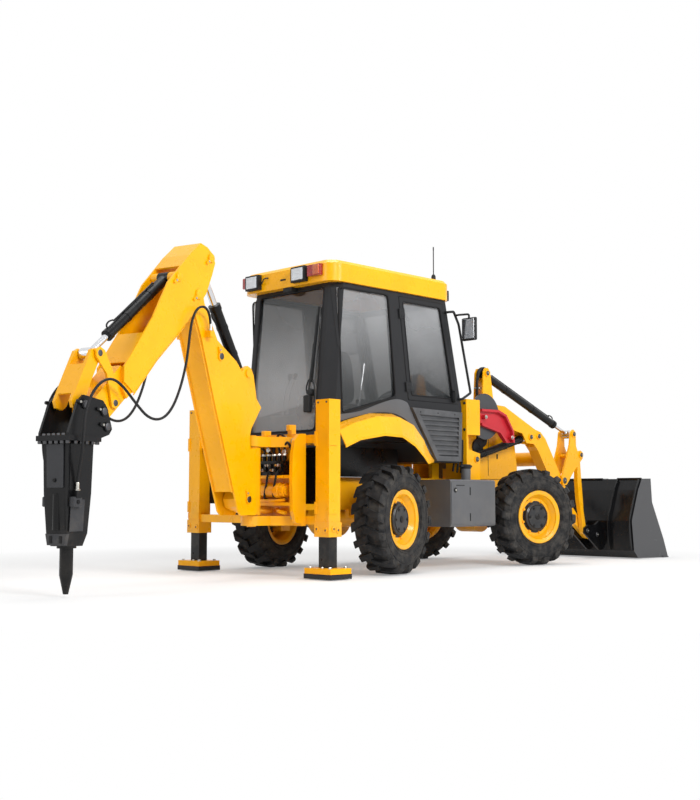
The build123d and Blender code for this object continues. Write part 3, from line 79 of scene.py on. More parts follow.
def fwd(distance):
    """X of a place given ahead of the rear axle."""
    return REAR_AXLE + distance


def at(rows):
    """World places from rows of (distance ahead of the rear axle, side, height)."""
    return np.asarray(rows, float) + (REAR_AXLE, 0, 0)


def backhoe(r, z, d=0.0):
    """A place given behind the kingpost along the boom, by height and by side."""
    return (fwd(KINGPOST) - r * cos(SWING) - d * sin(SWING), CARRIAGE_Y - r * sin(SWING) + d * cos(SWING), z)


# corner of the machine: name, axle ahead of the rear one, side, parked steering angle
CORNERS = (
    ("front_left", WHEELBASE, 1, FRONT_STEER),
    ("front_right", WHEELBASE, -1, FRONT_STEER),
    ("rear_left", 0.0, 1, REAR_STEER),
    ("rear_right", 0.0, -1, REAR_STEER),
)


def wheel_place(ahead, side, steer):
    """Centre of a wheel and the direction its hub faces."""
    out = np.array((-sin(steer), cos(steer), 0.0)) * side
    return np.array((fwd(ahead), side * KINGPIN, HUB_Z)) + out * WHEEL_OFFSET, out


# ---------------------------------------------------------------- settings
def colour(label, text, value):
    """A colour a user may change, in linear light."""
    return FloatVectorProperty(name=label, description=text, subtype="COLOR", size=3, min=0, max=1, default=value)


def length(label, text, value):
    """A size a user may change, in metres."""
    return FloatProperty(name=label, description=text, subtype="DISTANCE", unit="LENGTH", min=0, default=value)


class FinishSettings(bpy.types.PropertyGroup):
    body_yellow: colour("Body paint", "Paint of the frame, arms and roof", (0.95, 0.44, 0.0))
    body_dark: colour("Dark paint", "Paint of the cab and tanks", (0.016, 0.0165, 0.0185))
    tool_grey: colour("Tool paint", "Paint of the breaker", (0.006, 0.0062, 0.007))
    strut_red: colour("Strut paint", "Paint of the safety strut", (0.5, 0.018, 0.03))
    rubber: colour("Tyre rubber", "Rubber of the tyres", (0.014, 0.0145, 0.016))
    dust: colour("Dust", "Dry dust low down on the machine", (0.24, 0.21, 0.17))


class SizeSettings(bpy.types.PropertyGroup):
    bolt: length("Bolt size", "Radius of a common hexagon head", 0.013)
    hose: length("Hose radius", "Radius of a thin hydraulic hose", 0.0105)
    seal: length("Seal radius", "Radius of a window seal", 0.009)
    rim_nuts: IntProperty(name="Wheel nuts", description="Nuts round each rim", min=4, max=12, default=8)


# ---------------------------------------------------------------- shader helpers
class Socket:
    """A shader socket used like a number: an expression on it adds its Math nodes."""

    def __init__(self, finish, out):
        self.finish = finish
        self.out = out

    def _math(self, operation, first, second):
        return self.finish.node("ShaderNodeMath", {"operation": operation}, {0: first, 1: second})

    def __add__(self, other):
        return self._math("ADD", self, other)

    __radd__ = __add__

    def __sub__(self, other):
        return self._math("SUBTRACT", self, other)

    def __rsub__(self, other):
        return self._math("SUBTRACT", other, self)

    def __mul__(self, other):
        return self._math("MULTIPLY", self, other)

    __rmul__ = __mul__

    def __pow__(self, other):
        return self._math("POWER", self, other)

    def above(self, level):
        return self._math("GREATER_THAN", self, level)

    def ramp(self, low, high, to_low=0.0, to_high=1.0):
        """Smooth step from one level to another."""
        return self.finish.node(
            "ShaderNodeMapRange", {"interpolation_type": "SMOOTHSTEP"}, {0: self, 1: low, 2: high, 3: to_low, 4: to_high})


class Tree:
    """A node tree with Object coordinates; each node is added by its type, its settings and its inputs."""

    def __init__(self, tree):
        self.tree = tree
        self.where = self.node("ShaderNodeTexCoord", output="Object")

    def node(self, kind, settings=None, inputs=None, output=0):
        """Add a node, set it, then fill its sockets with numbers or links."""
        made = self.tree.nodes.new(kind)
        for key, value in (settings or {}).items():
            setattr(made, key, value)
        for key, value in (inputs or {}).items():
            if isinstance(value, Socket):
                self.tree.links.new(value.out, made.inputs[key])
            else:
                made.inputs[key].default_value = value
        return Socket(self, made.outputs[output])


class Finish(Tree):
    """One material: a Principled shader and the nodes that vary it over Object coordinates."""

    def __init__(self, name, base, roughness, metallic=0.0, coat=0.0, alpha=1.0):
        self.material = bpy.data.materials.new(name)
        self.material.use_nodes = True
        super().__init__(self.material.node_tree)
        self.shader = self.tree.nodes["Principled BSDF"]
        gloss = 0.32 if max(base) > 0.1 else 0.16       # dark coats mirror less of the white surroundings
        for key, value in (("Base Color", (*base, 1.0)), ("Roughness", roughness), ("Metallic", metallic),
                           ("Coat Weight", coat), ("Coat Roughness", 0.12), ("Alpha", alpha),
                           ("Specular IOR Level", gloss)):
            self.shader.inputs[key].default_value = value

    def feed(self, key, value):
        """Link a value to the shader."""
        self.tree.links.new(value.out, self.shader.inputs[key])

    def fed(self, key):
        """What the shader is fed now."""
        return Socket(self, self.shader.inputs[key].links[0].from_socket)

    def axes(self, vector=None):
        """The three coordinates of a vector, or of the place."""
        made = self.node("ShaderNodeSeparateXYZ", {}, {0: vector or self.where})
        return [Socket(self, out) for out in made.out.node.outputs]

    def aside(self):
        """Distance from the middle plane."""
        y = self.axes()[1]
        return (y * y) ** 0.5

    def centred(self, place, turn=0.0):
        """Object coordinates counted from a place and turned about Z."""
        return self.node("ShaderNodeMapping", {"vector_type": "TEXTURE"},
                         {"Vector": self.where, "Location": tuple(place), "Rotation": (0.0, 0.0, turn)})

    def noise(self, scale, detail=3.0, rough=0.55, where=None):
        return self.node("ShaderNodeTexNoise", {},
                         {"Vector": where or self.where, "Scale": scale, "Detail": detail, "Roughness": rough})

    def wave(self, value):
        """Sine of a value."""
        return self.node("ShaderNodeMath", {"operation": "SINE"}, {0: value})

    def mix(self, first, second, factor):
        """Blend two colours."""
        first, second = [value if isinstance(value, Socket) else (*value, 1.0) for value in (first, second)]
        return self.node("ShaderNodeMix", {"data_type": "RGBA"}, {0: factor, 6: first, 7: second}, output=2)

    def cover(self, colour, mask):
        """Lay another colour over the base colour where a mask is 1."""
        self.feed("Base Color", self.mix(self.fed("Base Color"), colour, mask))

    def bump(self, height, distance):
        """Raise the surface by height times distance."""
        self.feed("Normal", self.node("ShaderNodeBump", {}, {"Height": height, "Distance": distance}))


def shade(value, factor):
    """A colour made lighter or darker."""
    return tuple(min(1.0, part * factor) for part in value)


def paint(name, base, dust, gloss=0.3, dust_top=0.9, dust_amount=0.28):
    """Sprayed gloss paint: slight tone drift, orange peel, and dust in patches towards the ground."""
    finish = Finish(name, base, gloss, coat=0.12)
    tone = finish.mix(shade(base, 0.94), shade(base, 1.05), finish.noise(2.6, 4.0).ramp(0.3, 0.7))
    low = finish.axes()[2].ramp(0.02, dust_top, 1.0, 0.0)
    patches = finish.noise(7.0, 5.0, 0.62).ramp(0.38, 0.72)
    finish.feed("Base Color", finish.mix(tone, dust, low * patches * dust_amount))
    finish.feed("Roughness", finish.noise(11.0, 5.0).ramp(0.25, 0.8, gloss - 0.05, gloss + 0.16))
    finish.bump(finish.noise(420.0, 1.0) + finish.noise(36.0, 2.0) * 1.2, 0.00006)
    return finish


def moulded(name, base, roughness=0.55, grain=900.0):
    """Moulded plastic or rubber with a fine grain."""
    finish = Finish(name, base, roughness)
    patches = finish.noise(9.0, 4.0)
    finish.feed("Base Color", finish.mix(shade(base, 0.86), shade(base, 1.22), patches.ramp(0.3, 0.75)))
    finish.feed("Roughness", patches.ramp(0.2, 0.8, roughness - 0.07, roughness + 0.1))
    finish.bump(finish.noise(grain, 2.0), 0.00012)
    return finish


def bare_metal(name, base, roughness):
    """Turned or rubbed steel with fine streaks across its height."""
    finish = Finish(name, base, roughness, metallic=1.0)
    stretched = finish.node("ShaderNodeMapping", {}, {"Vector": finish.where, "Scale": (3.0, 3.0, 90.0)})
    streaks = finish.noise(6.0, 5.0, 0.7, stretched)
    finish.feed("Base Color", finish.mix(shade(base, 0.92), shade(base, 1.04), streaks.ramp(0.25, 0.75)))
    finish.feed("Roughness", streaks.ramp(0.2, 0.8, max(roughness - 0.04, 0.04), roughness + 0.05))
    finish.bump(streaks, 0.00008)
    return finish


def tyre_rubber(name, base, dust, centre, steer):
    """Black rubber, dry and dusty between the lugs, with fine rings on the walls."""
    finish = Finish(name, base, 0.62)
    x, _, z = finish.axes(finish.centred(centre, steer))
    radius = (x * x + z * z) ** 0.5
    patches = finish.noise(14.0, 6.0, 0.65)
    floor_dust = radius.ramp(0.44, 0.475, 0.2, 0.06) * patches.ramp(0.35, 0.75)
    finish.feed("Base Color", finish.mix(finish.mix(shade(base, 0.8), shade(base, 1.5), patches.ramp(0.3, 0.7)),
                                         dust, floor_dust))
    finish.feed("Roughness", patches.ramp(0.3, 0.75, 0.5, 0.78))
    rings = finish.wave(radius * 900.0) * radius.ramp(0.36, 0.40, 1.0, 0.0)
    finish.bump(rings * 0.5 + finish.noise(60.0, 5.0, 0.7) * 1.4, 0.0007)
    return finish


def rim_paint(name, base, dust, centre, steer):
    """Yellow rim with a dark hub cover: the colours change with the distance from the axis."""
    finish = Finish(name, base, 0.34, coat=0.25)
    x, _, z = finish.axes(finish.centred(centre, steer))
    radius = (x * x + z * z) ** 0.5
    grime = finish.noise(22.0, 6.0, 0.65).ramp(0.42, 0.78)
    hub = 1.0 - radius.above(0.16)
    edge = radius.ramp(0.2, 0.262) * 0.35 + 0.12
    finish.feed("Base Color", finish.mix(finish.mix(base, HUB_DARK, hub), dust, grime * edge))
    finish.feed("Roughness", grime * 0.3 + hub * 0.12 + 0.3)
    finish.bump(finish.noise(300.0, 2.0), 0.00015)
    return finish


def painted_reflection_band(finish):
    """Graduated painted reflection: side panes painted pale towards the head, end panes pale towards the foot, for the
    surroundings the glass mirrors.
    """
    side = finish.aside().above(0.55)
    rising = finish.axes()[2].ramp(1.55, 2.5)
    patches = finish.noise(2.2, 3.0).ramp(0.3, 0.7, 0.75, 1.0)
    # painted reflection: the panes go pale by height, broken up a little by noise
    return finish.mix(GLASS, GLASS_PAINTED_REFLECTION, (rising * side + (1.0 - rising) * (1.0 - side)) * patches)


def window_glass():
    """Tinted glass with faint smears in its gloss, and the painted reflection band in its colour."""
    finish = Finish("tinted_glass", GLASS, 0.03, coat=0.6, alpha=0.52)
    finish.shader.inputs["Specular IOR Level"].default_value = 0.6
    finish.feed("Base Color", painted_reflection_band(finish))
    finish.feed("Roughness", finish.noise(5.0, 4.0).ramp(0.35, 0.75, 0.02, 0.09))
    return finish


def ribbed_lens(name, base):
    """Moulded lamp lens with upright flutes."""
    finish = Finish(name, base, 0.12, coat=0.8)
    _, y, z = finish.axes()
    flutes = finish.wave(y * 520.0)
    finish.feed("Base Color", finish.mix(shade(base, 0.6), shade(base, 1.2), flutes * 0.5 + 0.5))
    finish.bump(flutes + finish.wave(z * 300.0) * 0.5, 0.0012)
    return finish


def woven(name, base):
    """Seat cloth: two crossed sets of threads."""
    finish = Finish(name, base, 0.85)
    x, y, z = finish.axes()
    threads = finish.wave(y * 1400.0) * finish.wave((x + z) * 1400.0)
    finish.feed("Base Color", finish.mix(shade(base, 0.7), shade(base, 1.6), threads * 0.5 + 0.5))
    finish.bump(threads, 0.0005)
    return finish


def door_finish(dark, dust):
    """Dark door frame whose pane, known by its distance from the middle plane, is tinted glass with a painted
    reflection band.
    """
    finish = paint("door_dark_and_glass", dark, dust, 0.38, 1.0, 0.3)
    out = finish.aside()
    pane = out.above(0.5555) * (1.0 - out.above(0.5625)) * finish.axes()[2].above(1.22)
    # painted reflection: the pane takes the pale band as its colour
    finish.cover(painted_reflection_band(finish), pane)
    finish.feed("Roughness", finish.fed("Roughness") * (1.0 - pane) + pane * 0.04)
    finish.feed("Alpha", 1.0 - pane * 0.48)
    return finish


def leg_finish(yellow, dust):
    """Stabiliser leg: black rubber sole, yellow foot plate, dark grey inner box above."""
    finish = paint("stabiliser_leg", (0.012, 0.0125, 0.014), dust, 0.36, 0.6, 0.15)
    z = finish.axes()[2]
    finish.cover(yellow, z.above(0.0496) * (1.0 - z.above(0.0958)))
    finish.cover((0.02, 0.02, 0.021), 1.0 - z.above(0.0496))
    return finish


def frame_finish(yellow, dust):
    """Yellow rear frame whose plates ahead of the rails are painted black: painted shade for the open frame, which is
    dark inside.
    """
    finish = paint("paint_rear_frame", yellow, dust, 0.3)
    # painted shade: black on the plates ahead of the rails
    finish.cover(BLACK, finish.axes()[0].above(fwd(-0.8195)) * (1.0 - finish.aside().above(0.5)))
    return finish


def bucket_finish(dust):
    """Black gloss bucket whose outer side plates are painted a paler grey: painted light for the light the sides catch.
    """
    finish = paint("paint_bucket", BLACK, dust, 0.14, 0.3, 0.06)
    # painted light: paler grey on the outer side plates
    finish.cover((0.07, 0.071, 0.075), finish.aside().above(0.949))
    return finish


def arm_finish(yellow, dust):
    """Yellow loader arms whose round guard plate on each tower is grey."""
    finish = paint("paint_arms", yellow, dust, 0.3)
    x, _, z = finish.axes()
    along, rise = x - fwd(1.69), z - 1.49
    guard = finish.aside().above(ARM_FACE + 0.0005) * (1.0 - ((along * along + rise * rise) ** 0.5).above(0.2335))
    finish.cover((0.045, 0.047, 0.052), guard)
    return finish


def finishes():
    """Make every finish once, from the settings."""
    look = bpy.context.scene.loader_finish
    yellow, dark, dust = tuple(look.body_yellow), tuple(look.body_dark), tuple(look.dust)
    made = {
        "yellow": paint("paint_yellow", yellow, dust, 0.3),
        "yellow_clean": paint("paint_yellow_clean", yellow, dust, 0.27, dust_amount=0.0),
        "dark": paint("paint_dark", dark, dust, 0.38, 1.0, 0.3),
        "belt": paint("belt_panel", (0.1, 0.102, 0.108), dust, 0.36),
        "tool": paint("paint_tool", tuple(look.tool_grey), dust, 0.36, dust_amount=0.1),
        "black": paint("paint_black", (0.005, 0.0051, 0.0056), dust, 0.28, dust_amount=0.06),
        "strut": paint("paint_strut", tuple(look.strut_red), dust, 0.36),
        "plate": paint("paint_plate", (0.04, 0.041, 0.045), dust, 0.36),
        "plastic": moulded("plastic_grey", (0.09, 0.092, 0.097), 0.5),
        "trim": moulded("trim_black", (0.02, 0.021, 0.022), 0.5),
        "seal": moulded("seal_rubber", (0.012, 0.012, 0.013), 0.6),
        "hose": moulded("hose_rubber", (0.016, 0.016, 0.017), 0.5, 700.0),
        "chrome": bare_metal("rod_chrome", (0.72, 0.73, 0.75), 0.12),
        "zinc": bare_metal("zinc_bolts", (0.5, 0.49, 0.45), 0.34),
        "steel": bare_metal("tool_steel", (0.1, 0.1, 0.105), 0.42),
        "iron": bare_metal("engine_iron", (0.18, 0.18, 0.18), 0.55),
        "lamp": ribbed_lens("lamp_lens", (0.72, 0.76, 0.8)),
        "tail": ribbed_lens("lamp_red", (0.4, 0.008, 0.007)),
        "amber": ribbed_lens("lamp_amber", (0.6, 0.1, 0.006)),
        "cloth": woven("seat_cloth", (0.035, 0.036, 0.04)),
        "glass": window_glass(), "door": door_finish(dark, dust), "leg": leg_finish(yellow, dust),
        "arms": arm_finish(yellow, dust), "frame": frame_finish(yellow, dust), "bucket": bucket_finish(dust),
    }
    for corner, ahead, side, steer in CORNERS:
        centre, _ = wheel_place(ahead, side, steer)
        made[f"tyre_{corner}"] = tyre_rubber(f"tyre_rubber_{corner}", tuple(look.rubber), dust, centre, steer)
        made[f"rim_{corner}"] = rim_paint(f"rim_paint_{corner}", yellow, dust, centre, steer)
    return made


# CAD piece: finish, edge radius in metres
DRESS = {
    "main_frame": ("yellow", 0.004), "axles": ("yellow", 0.0), "engine_block": ("iron", 0.01),
    "rear_frame": ("frame", 0.004), "bonnet": ("yellow_clean", 0.008), "rear_fenders": ("yellow_clean", 0.006),
    "cab_frame": ("dark", 0.005), "cab_glass": ("glass", 0.0), "roof": ("yellow_clean", 0.0),
    "side_tanks": ("belt", 0.006), "louvre_panel": ("plastic", 0.002), "seat": ("cloth", 0.012),
    "controls": ("trim", 0.004), "work_lamps": ("trim", 0.003), "tail_lamps": ("tail", 0.004),
    "rails_and_mirrors": ("trim", 0.0), "antenna": ("trim", 0.0), "door_left": ("door", 0.0),
    "door_right": ("door", 0.0), "loader_arms": ("arms", 0.004), "safety_strut": ("strut", 0.003),
    "lift_ram_barrels": ("black", 0.002), "lift_ram_rods": ("chrome", 0.0), "tilt_ram_barrels": ("black", 0.002),
    "tilt_ram_rods": ("chrome", 0.0), "tilt_levers": ("yellow", 0.003), "tilt_links": ("yellow", 0.003),
    "loader_bucket": ("bucket", 0.003), "carriage": ("yellow", 0.004), "kingpost": ("yellow", 0.006),
    "boom": ("yellow_clean", 0.005), "boom_ram_barrel": ("black", 0.002), "boom_ram_rod": ("chrome", 0.0),
    "dipper": ("yellow_clean", 0.004), "dipper_ram_barrel": ("black", 0.002), "dipper_ram_rod": ("chrome", 0.0),
    "tool_ram_barrel": ("black", 0.002), "tool_ram_rod": ("chrome", 0.0), "tool_levers": ("yellow", 0.003),
    "tool_link": ("yellow", 0.003), "carriage_valves": ("black", 0.004), "breaker": ("tool", 0.005),
    "chisel": ("black", 0.002),
    "stabiliser_leg_left": ("leg", 0.003), "stabiliser_leg_right": ("leg", 0.003),
    **{f"swivel_{corner[0]}": ("yellow", 0.003) for corner in CORNERS},
    **{f"tyre_{corner[0]}": (f"tyre_{corner[0]}", 0.0) for corner in CORNERS},
    **{f"rim_{corner[0]}": (f"rim_{corner[0]}", 0.0) for corner in CORNERS},
}
LOOKS = {}


class PaintParts(bpy.types.Operator):
    """Give every CAD piece its finish and rounded edges"""

    bl_idname = "loader.paint_parts"
    bl_label = "Paint the parts"

    def execute(self, context):
        LOOKS.update(finishes())
        for name, (look, edge) in DRESS.items():
            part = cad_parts[name]
            part.data.materials.clear()
            part.data.materials.append(LOOKS[look].material)
            if edge:
                round_edges(part, edge)
        return {"FINISHED"}


# ---------------------------------------------------------------- geometry helpers
def surface(name, parts, look, body, smooth=35.0, bevel=0.0):
    """One mesh from parts, each (points of shape (copies, rows, columns, 3), rows closed, columns closed)."""
    verts, faces, start = [], [], 0
    for points, close_rows, close_columns in parts:
        copies, rows, columns, _ = points.shape
        r = np.arange(rows if close_rows else rows - 1)
        c = np.arange(columns if close_columns else columns - 1)
        r, c = [value[None, ...] for value in np.meshgrid(r, c, indexing="ij")]
        base = start + np.arange(copies)[:, None, None] * rows * columns
        r2, c2 = (r + 1) % rows, (c + 1) % columns
        quads = np.stack((base + r * columns + c, base + r2 * columns + c, base + r2 * columns + c2,
                          base + r * columns + c2), -1)
        faces.append(quads.reshape(-1, 4))
        verts.append(points.reshape(-1, 3))
        start += copies * rows * columns
    mesh = bpy.data.meshes.new(name)
    mesh.from_pydata(np.concatenate(verts), [], np.concatenate(faces))
    shape = bmesh.new()
    shape.from_mesh(mesh)
    bmesh.ops.remove_doubles(shape, verts=shape.verts, dist=1e-6)
    bmesh.ops.recalc_face_normals(shape, faces=shape.faces)
    shape.to_mesh(mesh)
    shape.free()
    mesh.validate()
    mesh.set_sharp_from_angle(angle=radians(smooth))
    made = bpy.data.objects.new(name, mesh)
    bpy.context.scene.collection.objects.link(made)
    made.data.materials.append(LOOKS[look].material)
    if bevel:
        round_edges(made, bevel)
    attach(made, body)
    return made


def frames(axes):
    """Two unit vectors square to each axis."""
    axes = np.atleast_2d(np.asarray(axes, float))
    axes = axes / np.linalg.norm(axes, axis=1, keepdims=True)
    helper = np.where(np.abs(axes[:, 2:3]) > 0.9, (1.0, 0.0, 0.0), (0.0, 0.0, 1.0))
    first = np.cross(helper, axes)
    first /= np.linalg.norm(first, axis=1, keepdims=True)
    return axes, first, np.cross(axes, first)


def lathe(profile, places, axes, sides=24):
    """Turn a profile of (radius, height) about each axis: P(i, a) = place + height axis + radius (cos a, sin a)."""
    places = np.atleast_2d(np.asarray(places, float))
    axes, first, second = frames(np.broadcast_to(axes, places.shape))
    profile = np.asarray(profile, float)
    angle = np.arange(sides) * 2 * pi / sides
    ring = (np.cos(angle)[:, None] * first[:, None, :] + np.sin(angle)[:, None] * second[:, None, :])
    points = (places[:, None, None, :] + profile[None, :, None, 1:] * axes[:, None, None, :]
              + profile[None, :, None, :1] * ring[:, None, :, :])
    return points, False, True


def hexagons(places, axes, radius=0.013, height=0.009):
    """Bolt heads: a hexagon turned about each axis with a chamfered crown."""
    profile = ((radius, -0.002), (radius, height * 0.75), (radius * 0.86, height), (0.0, height))
    return lathe(profile, places, axes, 6)


def washers(places, axes, radius=0.02, height=0.003):
    """Flat washers under bolt heads."""
    return lathe(((radius, -0.002), (radius, height * 0.7), (radius * 0.94, height), (0.0, height)), places, axes, 20)


def sweep(path, section, up=None, closed=False):
    """Carry a section (x across, y up) along a path: P(i, j) = path(i) + x(j) side(i) + y(j) up(i)."""
    path = np.asarray(path, float)
    section = np.asarray(section, float)
    ahead = (np.roll(path, -1, 0) - np.roll(path, 1, 0)) if closed else np.gradient(path, axis=0)
    ahead /= np.linalg.norm(ahead, axis=1, keepdims=True)
    if up is None:
        up = frames(path[-1] - path[0])[1][0]
    side = np.cross(ahead, up)
    side /= np.linalg.norm(side, axis=1, keepdims=True)
    rise = np.cross(side, ahead)
    size = np.ones(len(path))
    if not closed:
        pick = np.concatenate(((0,), np.arange(len(path)), (len(path) - 1,)))
        path, side, rise = path[pick], side[pick], rise[pick]
        size = np.concatenate(((0.0,), size, (0.0,)))
    points = (path[:, None, :] + size[:, None, None] * (section[None, :, :1] * side[:, None, :]
                                                        + section[None, :, 1:] * rise[:, None, :]))
    return points[None], closed, True


def circle(radius, sides=12):
    """Round section."""
    angle = np.arange(sides) * 2 * pi / sides
    return np.stack((np.cos(angle), np.sin(angle)), -1) * radius


def oblong(width, height, radius):
    """Rounded rectangle section, counter-clockwise, with four points round each corner."""
    angle = np.linspace(0, pi / 2, 4)
    arc = np.stack((np.cos(angle), np.sin(angle)), -1) * radius
    turned = np.stack((arc, arc @ ((0, 1), (-1, 0)), -arc, arc @ ((0, -1), (1, 0))))
    corner = np.array(((1, 1), (-1, 1), (-1, -1), (1, -1))) * (width / 2 - radius, height / 2 - radius)
    return (turned + corner[:, None, :]).reshape(-1, 2)


def spline(points, steps=8):
    """Catmull-Rom curve through points: a cubic in t between each pair, all pairs at once."""
    points = np.asarray(points, float)
    run = np.concatenate((2 * points[:1] - points[1:2], points, 2 * points[-1:] - points[-2:-1]))
    a, b, c, d = run[:-3, None], run[1:-2, None], run[2:-1, None], run[3:, None]
    t = (np.arange(steps) / steps)[None, :, None]
    curve = 0.5 * (2 * b + (c - a) * t + (2 * a - 5 * b + 4 * c - d) * t ** 2 + (3 * b - a - 3 * c + d) * t ** 3)
    return np.concatenate((curve.reshape(-1, 3), points[-1:]))


def rounded(points, radius):
    """Closed outline with each corner turned by a quadratic curve that starts a radius before it."""
    points = np.asarray(points, float)
    before, after = np.roll(points, 1, 0) - points, np.roll(points, -1, 0) - points
    before *= radius / np.linalg.norm(before, axis=1, keepdims=True)
    after *= radius / np.linalg.norm(after, axis=1, keepdims=True)
    t = np.linspace(0, 1, 5)[None, :, None]
    start, end = (points + before)[:, None], (points + after)[:, None]
    return ((1 - t) ** 2 * start + 2 * t * (1 - t) * points[:, None] + t ** 2 * end).reshape(-1, 3)


def blocks(centres, size, radius, turn=0.0):
    """Rounded boxes: an oblong carried upwards with its ends drawn in, turned about Z."""
    centres = np.atleast_2d(np.asarray(centres, float))
    x, y, z = size
    edge = oblong(x, y, radius)
    inner = edge * ((x - radius) / x, (y - radius) / y)
    rows = np.stack((edge * 0, inner, edge, edge, inner, edge * 0))
    heights = np.array((-z / 2, -z / 2, -z / 2 + radius / 2, z / 2 - radius / 2, z / 2, z / 2))
    local = np.concatenate((rows, np.broadcast_to(heights[:, None, None], (*rows.shape[:2], 1))), -1)
    matrix = np.array(Euler((0, 0, turn)).to_matrix())
    return centres[:, None, None, :] + (local @ matrix.T)[None], False, True


def round_edges(target, width):
    """Round sharp edges of a piece."""
    bevel = target.modifiers.new("Round", "BEVEL")
    bevel.width = width
    bevel.segments = 2
    bevel.limit_method = "ANGLE"
    bevel.angle_limit = radians(35)
    bevel.harden_normals = True
    bevel.use_clamp_overlap = True


# ---------------------------------------------------------------- places and small forms
def both(parts):
    """Parts on one side and their mirror images across the middle; the parts have mirror symmetry of their own."""
    return [(points * (1, way, 1), *closed) for points, *closed in parts for way in (1, -1)]


def behind(points):
    """World places from rows of (distance behind the kingpost, height, side)."""
    r, z, d = np.atleast_2d(np.asarray(points, float)).T[..., None]
    return (backhoe(0, 0) + r * BACK + d * SIDE) * (1, 1, 0) + z * UP


def carriage(rows):
    """World places from rows of (distance behind the carriage's face, side from its middle, height)."""
    return np.asarray(rows, float) * (-1, 1, 1) + (fwd(CARRIAGE_FACE), CARRIAGE_Y, 0)


def loader(points, y):
    """World places from rows of (distance ahead of the rear axle, height) at one Y, or one for each row."""
    points = np.asarray(points, float)
    return np.stack((REAR_AXLE + points[:, 0], np.broadcast_to(y, len(points)), points[:, 1]), -1)


def round_about(centre, axis, count, radius, height, turn=0.0):
    """Places evenly round an axis: P(i) = centre + height axis + radius (cos a, sin a)."""
    axis, first, second = frames(axis)
    angle = (np.arange(count) * 2 * pi / count + turn)[:, None]
    return centre + height * axis + radius * (np.cos(angle) * first + np.sin(angle) * second)


def ring(section, centre, axis, sides=96):
    """A closed section of (radius, height) turned about an axis."""
    return lathe(section, centre, axis, sides)[0], True, True


def caps(places, axes, radius=0.03, height=0.007):
    """Slightly domed round pin ends with a bevelled rim."""
    profile = ((radius, -0.004), (radius, height * 0.6), (radius * 0.9, height), (radius * 0.45, height * 1.25),
               (0.0, height * 1.3))
    return lathe(profile, places, axes, 28)


def keepers(places, axis, along, length=0.03, width=0.011, thick=0.007):
    """Oblong tabs that lock pins: an oblong section pulled out along the axis, one at each place."""
    places = np.atleast_2d(places)
    axis = np.asarray(axis, float)
    along = np.asarray(along, float) / np.linalg.norm(along)
    across = np.cross(axis, along)
    outline = oblong(2 * length, 2 * width, width * 0.8)
    rows = np.stack((outline * 0, outline, outline, outline * 0.94, outline * 0))
    heights = np.array((-0.002, -0.002, thick * 0.8, thick, thick))[:, None, None]
    local = rows[..., :1] * along + rows[..., 1:] * across + heights * axis
    return places[:, None, None, :] + local[None], False, True


def plate_between(first, second, out, thick):
    """A plate from one edge line to another, thickened along a direction: section of four corners at each row."""
    first, second = np.asarray(first, float), np.asarray(second, float)
    push = np.asarray(out, float) * thick
    rows = np.stack((first, second, second + push, first + push), 1)
    middle = rows.mean(1, keepdims=True)
    ends = (np.broadcast_to(middle[:1], (1, 4, 3)), rows, np.broadcast_to(middle[-1:], (1, 4, 3)))
    return np.concatenate(ends)[None], False, True


def hose_tube(points, radius):
    """A round tube through points."""
    return sweep(spline(points), circle(radius, 10))


# ---------------------------------------------------------------- wheels
HUB_RING = ((0.112, 0.098), (0.114, 0.1025), (0.12, 0.1025), (0.122, 0.098))
WALL_RINGS = (
    ((0.283, 0.134), (0.286, 0.1445), (0.293, 0.147), (0.298, 0.139)),
    ((0.322, 0.145), (0.325, 0.1515), (0.328, 0.1515), (0.331, 0.145)),
    ((0.371, 0.144), (0.374, 0.1525), (0.383, 0.1525), (0.387, 0.144)),
)
VALVE = ((0.006, -0.01), (0.006, 0.022), (0.0045, 0.026), (0.0, 0.027))


class AddWheelHardware(bpy.types.Operator):
    """Add wheel nuts, hub bolts, tyre valves and the rings on the tyre walls"""

    bl_idname = "loader.wheel_hardware"
    bl_label = "Wheel nuts and tyre rings"

    def execute(self, context):
        count = context.scene.loader_sizes.rim_nuts
        for corner, ahead, side, steer in CORNERS:
            centre, out = wheel_place(ahead, side, steer)
            body = f"wheel_{corner}"
            nuts, bolts, plug, star, stem = [round_about(centre, out, *row) for row in (
                (count, 0.163, 0.058, 0.3), (6, 0.098, 0.1), (1, 0.0, 0.1), (6, 0.098, 0.0985), (1, 0.2, 0.062, 2.2))]
            surface(f"wheel_nuts_{corner}", [washers(nuts, out, 0.016), hexagons(nuts, out, 0.0125, 0.015)],
                    "yellow", body)
            surface(f"hub_cover_{corner}", [
                caps(plug, out, 0.03, 0.006), caps(star, out, 0.017, 0.003), hexagons(bolts, out, 0.0085, 0.007),
                ring(HUB_RING, centre, out, 48)], "tool", body)
            walls = [ring(np.array(section) * (1, face), centre, out) for face in (1, -1) for section in WALL_RINGS]
            surface(f"tyre_rings_{corner}", walls, f"tyre_{corner}", body, 50)
            surface(f"tyre_valve_{corner}", [lathe(VALVE, stem, out, 12)], "trim", body)
        return {"FINISHED"}


# ---------------------------------------------------------------- cab
# end walls: foot and head of the face as (distance ahead of the rear axle, height)
REAR_FACE = ((-0.605, 1.19), (-0.48, 2.58))
FRONT_FACE = ((1.24, 1.54), (1.0, 2.58))
FOOT_FACE = ((1.2, 1.01), (1.24, 1.54))
QUARTER = ((-0.405, 1.415), (-0.455, 2.53), (0.19, 2.535), (0.29, 1.6))
SASH = ((0.333, 2.542), (0.952, 2.542), (1.175, 1.583), (0.465, 1.583))
DOOR = ((0.333, 2.542), (0.952, 2.542), (1.182, 1.54), (1.157, 1.078), (0.802, 1.078), (0.643, 1.264), (0.443, 1.56))
SASH_PANE = ((0.385, 2.497), (0.917, 2.497), (1.118, 1.628), (0.504, 1.628))


